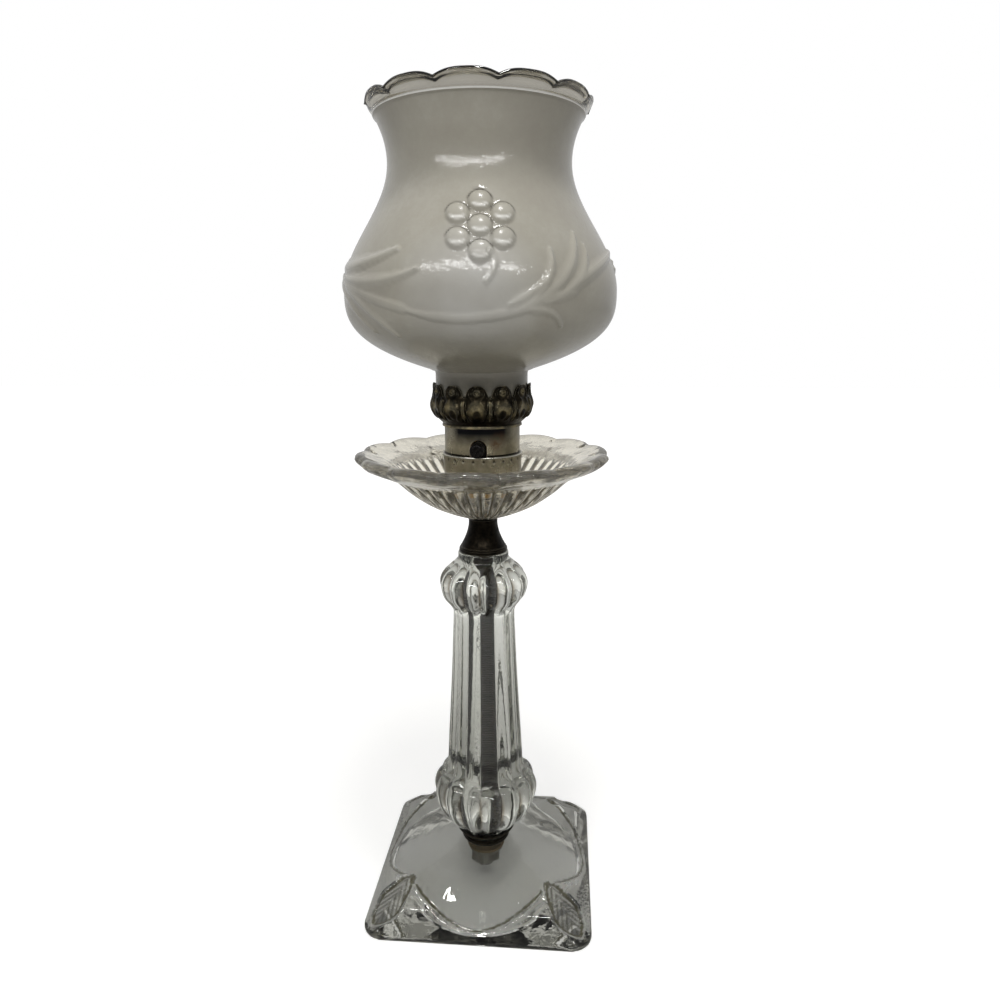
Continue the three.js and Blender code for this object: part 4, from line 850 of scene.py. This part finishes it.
def button(name, inner_end, outer_end):
    """A knob from one place along Y to another, in mm, with a hole for the rod at its inner end."""
    way = 1 if outer_end > inner_end else -1
    length = abs(outer_end - inner_end)
    round_end = eased([
        (KNOB_RADIUS, length - 1.2), (2.9, length - 0.5), (2.3, length - 0.1), (1.2, length)], steps=5)
    profile = [(0, ROD_HOLE_DEPTH), (ROD_HOLE, ROD_HOLE_DEPTH), (ROD_HOLE, 0), (2.9, 0), (KNOB_RADIUS, 0.2),
               (KNOB_RADIUS, length - 3.2), (2.95, length - 3.0), (KNOB_RADIUS, length - 2.8), *round_end,
               (0, length)]
    piece = turned(name, profile, sides=64)
    only(piece)
    piece.matrix_world = (Matrix.Translation((0, inner_end * MM, SWITCH_HEIGHT * MM))
                          @ Matrix.Rotation(-way * math.pi / 2, 4, "X"))
    bpy.ops.object.transform_apply(location=True, rotation=True, scale=True)
    return smoothed(piece)


front_knob = button("front_knob", -13.1, -25.1)
back_knob = button("back_knob", 7.1, 19.1)
for knob in (front_knob, back_knob):
    along = [point.co.y / MM for point in knob.data.vertices]
    print(knob.name, "from", round(min(along), 1), "to", round(max(along), 1), "mm along Y")

# %% [markdown]
# ## Finishes
#
# Each finish starts from the real material. One function adds a node with its settings and its
# links, another turns an sRGB hex colour to the linear one that the shader wants. A third lays
# stains over a colour, one Mix node for each, as a painter glazes: its inputs 0, 6 and 7 are the
# share, the colour below and the colour on top.

# %% Colour and node helpers
def linear(hex_colour):
    channels = [int(hex_colour[i:i + 2], 16) / 255 for i in (1, 3, 5)]
    return (*[c / 12.92 if c <= 0.04045 else ((c + 0.055) / 1.055) ** 2.4 for c in channels], 1.0)


def add(tree, kind, inputs=None, stops=(), **settings):
    """Adds a node. Inputs are set by name or number, to a value or from another node's socket.

    A colour ramp, which starts with two stops, also takes its own: pairs of a position and a hex
    colour or a grey."""
    made = tree.nodes.new(kind)
    for key, value in settings.items():
        setattr(made, key, value)
    for socket, value in (inputs or {}).items():
        if isinstance(value, bpy.types.NodeSocket):
            tree.links.new(value, made.inputs[socket])
        else:
            made.inputs[socket].default_value = value
    for _ in stops[2:]:
        made.color_ramp.elements.new(0.5)
    for i, (position, colour) in enumerate(stops):
        made.color_ramp.elements[i].position = position
        made.color_ramp.elements[i].color = linear(colour) if isinstance(colour, str) else (*[colour] * 3, 1)
    return made


def laid_over(tree, colour, layers):
    """Covers a colour with one layer after another: each is its share and its own colour."""
    for share, layer in layers:
        layer = linear(layer) if isinstance(layer, str) else layer
        colour = add(tree, "ShaderNodeMix", {0: share, 6: colour, 7: layer}, data_type="RGBA").outputs[2]
    return colour


def finish(name, **values):
    """A new material, its tree, its Principled shader, its output and the Object coordinates."""
    material = bpy.data.materials.new(name)
    material.use_nodes = True
    tree = material.node_tree
    tree.nodes.clear()
    shader = add(tree, "ShaderNodeBsdfPrincipled", values)
    output = add(tree, "ShaderNodeOutputMaterial", {"Surface": shader.outputs[0]})
    place = add(tree, "ShaderNodeTexCoord").outputs["Object"]
    return material, tree, shader, output, place


# %% [markdown]
# ### Clear pressed glass
#
# Soda-lime glass, index 1.52, pressed in an iron mould. The mould's skin leaves it faintly wavy,
# thick places look grey-green, and dust dulls it in the valleys. The waves are 6 mm and 1.5 mm
# noises in the bump, and the dullness is a 9 mm noise in the roughness. The foot's underside was
# never polished: its "underside" attribute makes it matt, which softens the nut seen through it.
# Dust has settled in the valleys, and a thin warm film of it on the saucer: there a part of the
# light is scattered instead of let through. The valleys and creases are also painted darker, as
# painted shade, in the same colour as the dust. Only the dust and this painted shade are coloured on
# the surface. The glass gets its own tint from the depth that light crosses, so thick places are darker.

# %% Clear pressed glass
def pressed_glass(name, tint, density, wave, film=None, dust_and_shade_colour=None, plain="#fafbf8"):
    """Film is the share of dust on open glass and in the valleys; the valley colour is that of the dust and
    of painted shade.
    """
    material, tree, shader, output, place = finish(name, **{
        "Base Color": linear(plain), "IOR": 1.52, "Transmission Weight": 1.0, "Roughness": 0.02})
    if film:
        thin, thick = film
        settled = add(tree, "ShaderNodeTexNoise", {
            "Vector": place, "Scale": 1 / (2.5 * MM), "Detail": 5.0}).outputs["Fac"]
        valley = add(tree, "ShaderNodeAttribute", attribute_name="valley").outputs["Fac"]
        depth = add(tree, "ShaderNodeMath", {0: valley, 1: 2.0, 2: settled}, operation="MULTIPLY_ADD")
        clear = add(tree, "ShaderNodeMapRange", {
            "Value": depth.outputs[0], "From Min": 0.6, "From Max": 2.5,
            "To Min": 1 - thin, "To Max": 1 - thick})
        dust_and_shade_tone = add(tree, "ShaderNodeValToRGB", {0: valley}, [(0.05, plain), (0.6, dust_and_shade_colour)])
        tree.links.new(clear.outputs[0], shader.inputs["Transmission Weight"])
        tree.links.new(dust_and_shade_tone.outputs[0], shader.inputs["Base Color"])
    waves = add(tree, "ShaderNodeTexNoise", {
        "Vector": place, "Scale": 1 / (6 * MM), "Detail": 2.0}).outputs["Fac"]
    grain = add(tree, "ShaderNodeTexNoise", {
        "Vector": place, "Scale": 1 / (1.5 * MM), "Detail": 1.0}).outputs["Fac"]
    both = add(tree, "ShaderNodeMath", {0: grain, 1: 0.2, 2: waves}, operation="MULTIPLY_ADD").outputs[0]
    bump = add(tree, "ShaderNodeBump", {"Height": both, "Strength": wave, "Distance": 0.6 * MM})
    tree.links.new(bump.outputs[0], shader.inputs["Normal"])
    dull = add(tree, "ShaderNodeTexNoise", {
        "Vector": place, "Scale": 1 / (9 * MM), "Detail": 4.0}).outputs["Fac"]
    skin = add(tree, "ShaderNodeValToRGB", {0: dull}, [(0.35, 0.01), (0.75, 0.06)]).outputs[0]
    under = add(tree, "ShaderNodeAttribute", attribute_name="underside").outputs["Fac"]
    matt = add(tree, "ShaderNodeMath", {0: under, 1: 0.1, 2: skin}, operation="MULTIPLY_ADD")
    tree.links.new(matt.outputs[0], shader.inputs["Roughness"])
    volume = add(tree, "ShaderNodeVolumeAbsorption", {"Color": linear(tint), "Density": density})
    tree.links.new(volume.outputs[0], output.inputs["Volume"])
    return material


base_glass = pressed_glass(
    "clear_pressed_glass_base", "#b8b5a4", density=14.0, wave=0.15, film=(0.0, 0.65), dust_and_shade_colour="#4f4c3a")
column_glass = pressed_glass(
    "clear_pressed_glass_column", "#c6c8ba", density=15.0, wave=0.12, film=(0.0, 0.3), dust_and_shade_colour="#8a8070")
saucer_glass = pressed_glass(
    "clear_pressed_glass_saucer", "#bdb28c", density=11.0, wave=0.25, film=(0.06, 0.65), dust_and_shade_colour="#6b6350",
    plain="#f8f4e8")
bulb_glass = pressed_glass("clear_blown_glass", "#f2f4f2", density=1.0, wave=0.03)

# %% [markdown]
# ### Satin etched glass
#
# The shade was dipped in acid, which leaves a fine matt skin that scatters light: from outside it
# reads as a soft warm grey. It is drawn as a matt skin that lets no light through, under a clear
# coat whose narrow sheen breaks up in a 1.8 mm orange peel. The leaves are rubbed smoother, and the
# raised leaves and berries are painted lighter as a painted sheen. Each berry has a painted highlight,
# a white curve near its foot, and painted shade along its upper edge, and an attribute marks each.
# The neck is painted darker as painted shade, and a pale patch on the belly's front is a painted
# sheen. The rim was kept out of the acid, so it stays clear above a painted highlight, a white line.
# The etch's grain is finer than the render shows, so it is drawn at 0.5 mm.

# %% Satin etched glass
def spotted(tree, place, middle, reach):
    """1 in the middle of a stain of the given reach in mm, falling to 0 at its edge."""
    middle = [c * MM for c in middle]
    off = add(tree, "ShaderNodeVectorMath", {0: place, 1: middle}, operation="SUBTRACT").outputs[0]
    far = add(tree, "ShaderNodeVectorMath", {0: off}, operation="LENGTH").outputs["Value"]
    return add(tree, "ShaderNodeMapRange", {
        "Value": far, "From Min": reach * MM, "From Max": 0.3 * reach * MM}).outputs[0]


# A painted sheen: a pale, cloudy patch on the front of the belly.
PAINTED_SHEEN_PLACE, PAINTED_SHEEN_REACH = (2.0, -57.0, 289.0), 30


def satin_glass():
    material, tree, shader, output, place = finish("satin_etched_glass", **{
        "IOR": 1.5, "Specular IOR Level": 0.2, "Coat Roughness": 0.07})
    height = add(tree, "ShaderNodeSeparateXYZ", {0: place}).outputs["Z"]
    worn, painted_berry_shade, crescent, berry = (
        add(tree, "ShaderNodeAttribute", attribute_name=name).outputs["Fac"]
        for name in ("relief", "berry_edge", "crescent", "berry"))

    cloud = add(tree, "ShaderNodeTexNoise", {
        "Vector": place, "Scale": 1 / (35 * MM), "Detail": 5.0}).outputs["Fac"]
    mottle = add(tree, "ShaderNodeTexNoise", {
        "Vector": place, "Scale": 1 / (3 * MM), "Detail": 6.0, "Roughness": 0.7}).outputs["Fac"]
    uneven = add(tree, "ShaderNodeMath", {0: mottle, 1: 0.35, 2: cloud}, operation="MULTIPLY_ADD").outputs[0]
    stain = add(tree, "ShaderNodeValToRGB", {0: uneven}, [
        (0.45, "#9b968b"), (0.72, "#a39f93"), (0.95, "#aeaaa0")]).outputs[0]
    # Painted shade: below 251 mm the neck is painted a darker grey, which fades into the etched grey by 260
    # mm.
    above_painted_neck_shade = add(tree, "ShaderNodeMapRange", {
        "Value": height, "From Min": 251 * MM, "From Max": 260 * MM}).outputs[0]
    painted_front_sheen = add(tree, "ShaderNodeMath", {
        0: spotted(tree, place, PAINTED_SHEEN_PLACE, PAINTED_SHEEN_REACH), 1: cloud}, operation="MULTIPLY").outputs[0]
    # A painted sheen: the raised leaves and berries are painted lighter.
    raised = add(tree, "ShaderNodeMapRange", {
        "Value": worn, "From Min": 0.2, "From Max": 1.0, "To Max": 0.2}).outputs[0]
    # A painted highlight: a thin white line where the clear rim meets the etched glass.
    line = add(tree, "ShaderNodeMath", {
        0: height, 1: (FROST_LINE - 0.1) * MM, 2: 0.3 * MM}, operation="COMPARE").outputs[0]
    # Over the painted neck shade go the etched grey, a painted sheen on the front, the berries' painted shade
    # and highlights, the relief's painted sheen and the painted white line.
    colour = laid_over(tree, linear("#726e63"), [
        (above_painted_neck_shade, stain), (painted_front_sheen, "#c4c4c2"), (painted_berry_shade, "#4a473f"), (crescent, "#f6f5f0"),
        (raised, "#c9c6bc"), (line, "#f7f6f2")])
    tree.links.new(colour, shader.inputs["Base Color"])

    grain = add(tree, "ShaderNodeTexNoise", {
        "Vector": place, "Scale": 1 / (0.5 * MM), "Detail": 2.0}).outputs["Fac"]
    bump = add(tree, "ShaderNodeBump", {"Height": grain, "Strength": 0.12, "Distance": 0.15 * MM})
    orange_peel = add(tree, "ShaderNodeTexNoise", {
        "Vector": place, "Scale": 1 / (1.8 * MM), "Detail": 3.0}).outputs["Fac"]
    sparkle = add(tree, "ShaderNodeBump", {"Height": orange_peel, "Strength": 1.0, "Distance": 0.16 * MM})
    glaze = add(tree, "ShaderNodeMapRange", {"Value": berry, "From Max": 0.3, "To Min": 0.8, "To Max": 0.15})
    rough = add(tree, "ShaderNodeMapRange", {"Value": worn, "To Min": 0.36, "To Max": 0.24})
    links = {"Normal": bump, "Coat Normal": sparkle, "Coat Weight": glaze, "Roughness": rough}
    for socket, node in links.items():
        tree.links.new(node.outputs[0], shader.inputs[socket])

    clear = add(tree, "ShaderNodeBsdfPrincipled", {
        "Base Color": linear("#bdb9ae"), "IOR": 1.5, "Transmission Weight": 1.0, "Roughness": 0.04})
    edge = add(tree, "ShaderNodeMapRange", {
        "Value": height, "From Min": (FROST_LINE - 0.3) * MM, "From Max": (FROST_LINE + 0.4) * MM})
    blend = add(tree, "ShaderNodeMixShader", {0: edge.outputs[0], 1: shader.outputs[0], 2: clear.outputs[0]})
    tree.links.new(blend.outputs[0], output.inputs["Surface"])
    return material


shade_glass = satin_glass()

# %% [markdown]
# ### Metals
#
# The gallery, neck and rings are cast and spun brass that has gone nearly black, and a sooty film
# dulls the neck and rings. Hands have bared the gallery's high spots, which its "rubbed" attribute
# marks: they show dull gold. The sleeve and cap are brass with a thin skin of nickel, cloudy, with a
# painted shadow of the gallery on the sleeve's front, a dark line over the cap's bead, a painted
# highlight along the bead, rust and dark punched dots. Edges are found with a Bevel node: where its
# rounded normal differs from the true one, the metal is worn.

# %% Aged metals
def worn_edges(tree, radius):
    """0 on flat metal, rising on its edges."""
    soft = add(tree, "ShaderNodeBevel", {"Radius": radius}, samples=6).outputs[0]
    true = add(tree, "ShaderNodeNewGeometry").outputs["Normal"]
    match = add(tree, "ShaderNodeVectorMath", {0: soft, 1: true}, operation="DOT_PRODUCT").outputs["Value"]
    return add(tree, "ShaderNodeMapRange", {"Value": match, "From Min": 0.995, "From Max": 0.86}).outputs[0]


def aged_metal(name, dark, middle, worn, roughness, patch, edge=0.6, extra=None):
    """Patches and the worn edges' width are in mm. Extra stains are laid over the colour last."""
    material, tree, shader, output, place = finish(name, **{"Metallic": 1.0})
    cloud = add(tree, "ShaderNodeTexNoise", {
        "Vector": place, "Scale": 1 / (patch * MM), "Detail": 6.0, "Roughness": 0.65}).outputs["Fac"]
    speck = add(tree, "ShaderNodeTexNoise", {
        "Vector": place, "Scale": 1 / (0.8 * MM), "Detail": 3.0}).outputs["Fac"]
    patina = add(tree, "ShaderNodeValToRGB", {0: cloud}, [(0.36, dark), (0.62, middle)]).outputs[0]
    bared = add(tree, "ShaderNodeMath", {
        0: worn_edges(tree, edge * MM), 1: speck}, operation="MULTIPLY").outputs[0]
    colour = laid_over(tree, patina, [(bared, worn)])
    if extra:
        colour = laid_over(tree, colour, extra(tree, place, cloud))
    tree.links.new(colour, shader.inputs["Base Color"])
    low, high = roughness
    rough = add(tree, "ShaderNodeValToRGB", {0: cloud}, [(0.35, high), (0.7, low)])
    tree.links.new(rough.outputs[0], shader.inputs["Roughness"])
    both = add(tree, "ShaderNodeMath", {0: speck, 1: 0.6, 2: cloud}, operation="MULTIPLY_ADD").outputs[0]
    bump = add(tree, "ShaderNodeBump", {"Height": both, "Strength": 0.3, "Distance": 0.12 * MM})
    tree.links.new(bump.outputs[0], shader.inputs["Normal"])
    return material


def rubbed_casting(tree, place, cloud):
    """Dull gold where hands have rubbed the casting, patchy as the clouds are."""
    marks = add(tree, "ShaderNodeAttribute", attribute_name="rubbed").outputs["Fac"]
    patchy = add(tree, "ShaderNodeValToRGB", {0: cloud}, [(0.35, 0.35), (0.6, 1.0)]).outputs[0]
    share = add(tree, "ShaderNodeMath", {0: marks, 1: patchy}, operation="MULTIPLY").outputs[0]
    gold = add(tree, "ShaderNodeValToRGB", {0: cloud}, [(0.4, "#75705f"), (0.6, "#8a7f62")]).outputs[0]
    return [(share, gold)]


RUST_PLACE, RUST_REACH = (9.0, -14.5, 226.5), 5.5


def stains_and_painted_light(tree, place, cloud):
    """Painted shadow of the gallery on the front, a dark line over the cap's bead, a painted highlight along
    the bead, rust by the button, dark dots.
    """
    across, along, height = add(tree, "ShaderNodeSeparateXYZ", {0: place}).outputs
    side = add(tree, "ShaderNodeMath", {0: across, 1: 1.0 * MM}, operation="SUBTRACT").outputs[0]
    aside = add(tree, "ShaderNodeMath", {0: side}, operation="ABSOLUTE").outputs[0]
    # Painted shadow: a dark band on the front of the sleeve, darkest just under the gallery.
    painted_gallery_shadow = add(tree, "ShaderNodeMapRange", {
        "Value": aside, "From Min": 14.0 * MM, "From Max": 10.0 * MM}).outputs[0]
    for value, low, high in ((height, 225.0, 230.6), (along, -6.0, -9.0)):
        share = add(tree, "ShaderNodeMapRange", {
            "Value": value, "From Min": low * MM, "From Max": high * MM}).outputs[0]
        painted_gallery_shadow = add(tree, "ShaderNodeMath", {0: painted_gallery_shadow, 1: share}, operation="MULTIPLY").outputs[0]
    patchy = add(tree, "ShaderNodeValToRGB", {0: cloud}, [(0.42, 0.1), (0.58, 1.0)]).outputs[0]
    rust = add(tree, "ShaderNodeMath", {
        0: spotted(tree, place, RUST_PLACE, RUST_REACH), 1: patchy}, operation="MULTIPLY").outputs[0]
    # The first is a dark line at the seam over the cap; the second is a painted highlight, a light line along
    # the cap's bead.
    seam, bead = (
        add(tree, "ShaderNodeMath", {0: height, 1: line * MM, 2: reach * MM}, operation="COMPARE").outputs[0]
        for line, reach in ((CAP_TOP + 0.5, 0.35), (CAP_TOP - 0.2, 0.18)))
    pits = add(tree, "ShaderNodeAttribute", attribute_name="pit").outputs["Fac"]
    return [(painted_gallery_shadow, "#17171a"), (rust, "#4a2f18"), (seam, "#15130f"), (bead, "#d6d4ca"), (pits, "#120e0a")]


bronze = aged_metal("blackened_brass", "#0e0d0a", "#2b261d", "#9a9480",
                    roughness=(0.28, 0.5), patch=4.0, extra=rubbed_casting)
nickel = aged_metal("cloudy_nickel_plate", "#736d5c", "#928c7b", "#c9c6b8",
                    roughness=(0.22, 0.4), patch=9.0, edge=0.5, extra=stains_and_painted_light)
sooty = aged_metal("sooty_brass", "#0b0a08", "#211d17", "#7a7465", roughness=(0.3, 0.55), patch=2.5)
steel = aged_metal("plain_steel", "#8b8882", "#adaba5", "#c6c5bf", roughness=(0.3, 0.5), patch=5.0)
black_iron = aged_metal("black_iron_pipe", "#0a0806", "#241e17", "#4a4438", roughness=(0.35, 0.6), patch=3.0)
brass = aged_metal("drawn_brass", "#8f7440", "#b8975a", "#d8bd84", roughness=(0.25, 0.4), patch=6.0)

# %% [markdown]
# ### Moulded black and pressed fibre
#
# The buttons and the socket's body are phenolic moulding powder pressed hot: black, hard and
# glossy with faint swirls. Washers and liners are pressed fibre, brown and dull with short
# strands.

# %% Phenolic and fibre
def moulded(name, pattern, colours, roughness, bump_strength, bump_depth, **values):
    """A finish whose colour, gloss and bump all follow one noise, as in a pressed powder or fibre."""
    material, tree, shader, output, place = finish(name, **values)
    swirl = add(tree, "ShaderNodeTexNoise", {"Vector": place, **pattern}).outputs["Fac"]
    bump = add(tree, "ShaderNodeBump", {
        "Height": swirl, "Strength": bump_strength, "Distance": bump_depth * MM})
    links = {"Base Color": add(tree, "ShaderNodeValToRGB", {0: swirl}, colours),
             "Roughness": add(tree, "ShaderNodeValToRGB", {0: swirl}, roughness), "Normal": bump}
    for socket, node in links.items():
        tree.links.new(node.outputs[0], shader.inputs[socket])
    return material


phenolic = moulded(
    "black_phenolic", {"Scale": 1 / (3 * MM), "Detail": 4.0, "Distortion": 1.2},
    colours=[(0.3, "#060505"), (0.8, "#0e0b0b")], roughness=[(0.3, 0.18), (0.8, 0.34)],
    bump_strength=0.15, bump_depth=0.08, **{"IOR": 1.5, "Specular IOR Level": 0.12})
fibre = moulded(
    "pressed_fibre", {"Scale": 1 / (0.7 * MM), "Detail": 5.0, "Distortion": 2.0},
    colours=[(0.3, "#7d6e5a"), (0.7, "#9a8b75")], roughness=[(0.3, 0.75), (0.7, 0.95)],
    bump_strength=0.4, bump_depth=0.1)

# %% Putting the finishes on
finishes = {
    "base_glass": base_glass, "column_glass": column_glass, "saucer_glass": saucer_glass,
    "shade_glass": shade_glass, "bulb_glass": bulb_glass, "bronze": bronze, "nickel": nickel,
    "steel": steel, "brass": brass, "bakelite": phenolic, "fibre": fibre,
}
slot_of = {part["node"]: part["material_slot"] for part in frame["record"]["subparts"]}
for name, node in nodes.items():
    node.data.materials.clear()
    node.data.materials.append(finishes[slot_of[name]])

made = [
    (shade, "shade", "glass_shade"), (saucer, "lamp", "glass_saucer"), (column, "lamp", "glass_column"),
    (base, "lamp", "glass_base"), (gallery, "lamp", "shade_holder"), (spool, "lamp", "neck_spool"),
    (cup_ring, "lamp", "column_cup_ring"), (seat_ring, "lamp", "lower_seat_ring"),
    (cap, "lamp", "socket_cap"), (shell, "lamp", "socket_shell"),
    (front_knob, "switch", "front_button"), (back_knob, "switch", "back_button"),
    (pipe, "lamp", "lamp_pipe"), (bulb, "lamp", "bulb_glass"),
]
own_finish = {pipe.name: black_iron, spool.name: sooty, cup_ring.name: sooty, seat_ring.name: sooty}
for piece, body, node in made:
    piece.data.materials.clear()
    piece.data.materials.append(own_finish.get(piece.name, finishes[slot_of[node]]))
    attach(piece, body)
    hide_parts(node)
print(len(made), "pieces made,", len(nodes) - len(made), "nodes kept")

# %% [markdown]
# ## The table, the light and the camera
#
# The lamp stands on a plain pale floor in soft light. White behind clear glass makes it vanish,
# so what each ray sees is set by its kind. The camera gets a white sheet. Glass and gloss get a room
# that is pale above and at the back, and grey towards the viewer, and a floor that is a little lit.
# Matt surfaces get the same room, dimmer and even, so that its grey side doesn't darken them.

# %% Floor
clear_selection()
bpy.ops.mesh.primitive_plane_add(size=6, location=(0, 0, -0.2 * MM))
floor = bpy.context.object
floor.name = "floor"
paper, tree, shader, output, place = finish("pale_paper_floor", **{
    "Base Color": linear("#bdbcb8"), "Roughness": 0.7})
rays = add(tree, "ShaderNodeLightPath").outputs
away = add(tree, "ShaderNodeVectorMath", {0: place}, operation="LENGTH").outputs["Value"]
sheet_light = add(tree, "ShaderNodeMapRange", {
    "Value": away, "From Min": 0.2, "From Max": 0.8, "To Min": 0.68, "To Max": 1.0}).outputs[0]
glass_light = add(tree, "ShaderNodeMapRange", {
    "Value": away, "From Min": 0.12, "From Max": 0.6, "To Min": 0.05, "To Max": 0.45}).outputs[0]
in_glass = add(tree, "ShaderNodeMath", {
    0: rays["Is Glossy Ray"], 1: 0.6, 2: rays["Is Transmission Ray"]}, operation="MULTIPLY_ADD").outputs[0]
to_glass = add(tree, "ShaderNodeMath", {0: in_glass, 1: glass_light}, operation="MULTIPLY").outputs[0]
seen = add(tree, "ShaderNodeMath", {
    0: rays["Is Camera Ray"], 1: sheet_light, 2: to_glass}, operation="MULTIPLY_ADD").outputs[0]
glow = add(tree, "ShaderNodeEmission", {"Color": (1, 1, 1, 1), "Strength": seen})
both = add(tree, "ShaderNodeAddShader", {0: shader.outputs[0], 1: glow.outputs[0]})
tree.links.new(both.outputs[0], output.inputs["Surface"])
floor.data.materials.append(paper)

# %% World
world = bpy.data.worlds.new("room")
bpy.context.scene.world = world
world.use_nodes = True
tree = world.node_tree
tree.nodes.clear()
way = add(tree, "ShaderNodeTexCoord").outputs["Generated"]
axes = add(tree, "ShaderNodeSeparateXYZ", {0: way}).outputs
upward, backward = (
    add(tree, "ShaderNodeMapRange", {"Value": axes[axis], "From Min": low, "From Max": 1.0}).outputs[0]
    for axis, low in (("Z", -0.2), ("Y", -1.0)))
walls = add(tree, "ShaderNodeValToRGB", {0: upward}, [
    (0.0, 0.5), (0.2, 0.6), (0.45, 0.66), (0.8, 0.75)]).outputs[0]
depth = add(tree, "ShaderNodeValToRGB", {0: backward}, [(0.0, 0.28), (0.45, 0.34), (0.78, 0.95)]).outputs[0]
room, even_room = (
    add(tree, "ShaderNodeMix", {0: 1.0, 6: walls, 7: shading},
        data_type="RGBA", blend_type="MULTIPLY").outputs[2]
    for shading in (depth, linear("#8f8f8f")))
rays = add(tree, "ShaderNodeLightPath").outputs
surroundings = laid_over(tree, room, [
    (rays["Is Diffuse Ray"], even_room), (rays["Is Camera Ray"], "#ffffff")])
back = add(tree, "ShaderNodeBackground", {"Color": surroundings, "Strength": 1.0})
add(tree, "ShaderNodeOutputWorld", {"Surface": back.outputs[0]})


# %% Lamps
def soft_lamp(name, place, aim, width, depth, watts):
    """An area lamp that faces its aim. Its sides are in metres."""
    clear_selection()
    bpy.ops.object.light_add(type="AREA", location=place)
    lamp = bpy.context.object
    lamp.name = name
    lamp.data.shape = "RECTANGLE"
    lamp.data.size = width
    lamp.data.size_y = depth
    lamp.data.energy = watts
    lamp.rotation_euler = (Vector(aim) - Vector(place)).to_track_quat("-Z", "Y").to_euler()


soft_lamp("ceiling_lamp", (0.06, -0.2, 1.1), (0, 0, 0.2), width=0.12, depth=0.16, watts=3.5)
soft_lamp("front_lamp", (-0.1, -1.6, 1.45), (0, 0, 0.3), width=3.0, depth=0.07, watts=24.0)
soft_lamp("left_lamp", (-0.9, -0.3, 0.5), (0, 0, 0.2), width=1.2, depth=1.2, watts=0.6)
soft_lamp("right_lamp", (0.8, -0.5, 0.6), (0, 0, 0.2), width=1.2, depth=1.2, watts=0.5)

# %% [markdown]
# The camera's place was worked out from the round edges of the glass in the photograph: 350 mm in
# front of the axis, 278 mm up, looking down by 13 degrees and a little from the right. A wide lens
# this near shows the lamp's foot from well above and its shade almost level.

# %% Camera
DISTANCE, CAMERA_HEIGHT, PITCH, ROLL, AROUND, SIDEWAYS = 350.008, 277.967, 13.01, -0.245, 4.79, 7.971
FOCAL_PIXELS, IMAGE_PIXELS, SENSOR = 769.742, 1000, 36.0
around, pitch, roll = (math.radians(angle) for angle in (AROUND, PITCH, ROLL))
right = Vector((math.cos(around), math.sin(around), 0))
flat = Vector((-math.sin(around), math.cos(around), 0))
forward = flat * math.cos(pitch) - Vector((0, 0, math.sin(pitch)))
eye = (-flat * DISTANCE + right * SIDEWAYS + Vector((0, 0, CAMERA_HEIGHT))) * MM
up = right.cross(forward)
level_right = right * math.cos(roll) + up * math.sin(roll)
level_up = level_right.cross(forward)
camera_data = bpy.data.cameras.new("camera")
camera_data.sensor_width = SENSOR
camera_data.lens = FOCAL_PIXELS / IMAGE_PIXELS * SENSOR
camera_data.clip_start = 10 * MM
camera = bpy.data.objects.new("camera", camera_data)
bpy.context.scene.collection.objects.link(camera)
turn = Matrix((level_right, level_up, -forward)).transposed().to_4x4()
camera.matrix_world = Matrix.Translation(eye) @ turn
bpy.context.scene.camera = camera
bpy.context.scene.view_settings.view_transform = "Standard"
print("camera at", [round(c / MM) for c in eye], "lens", round(camera_data.lens, 2), "mm")
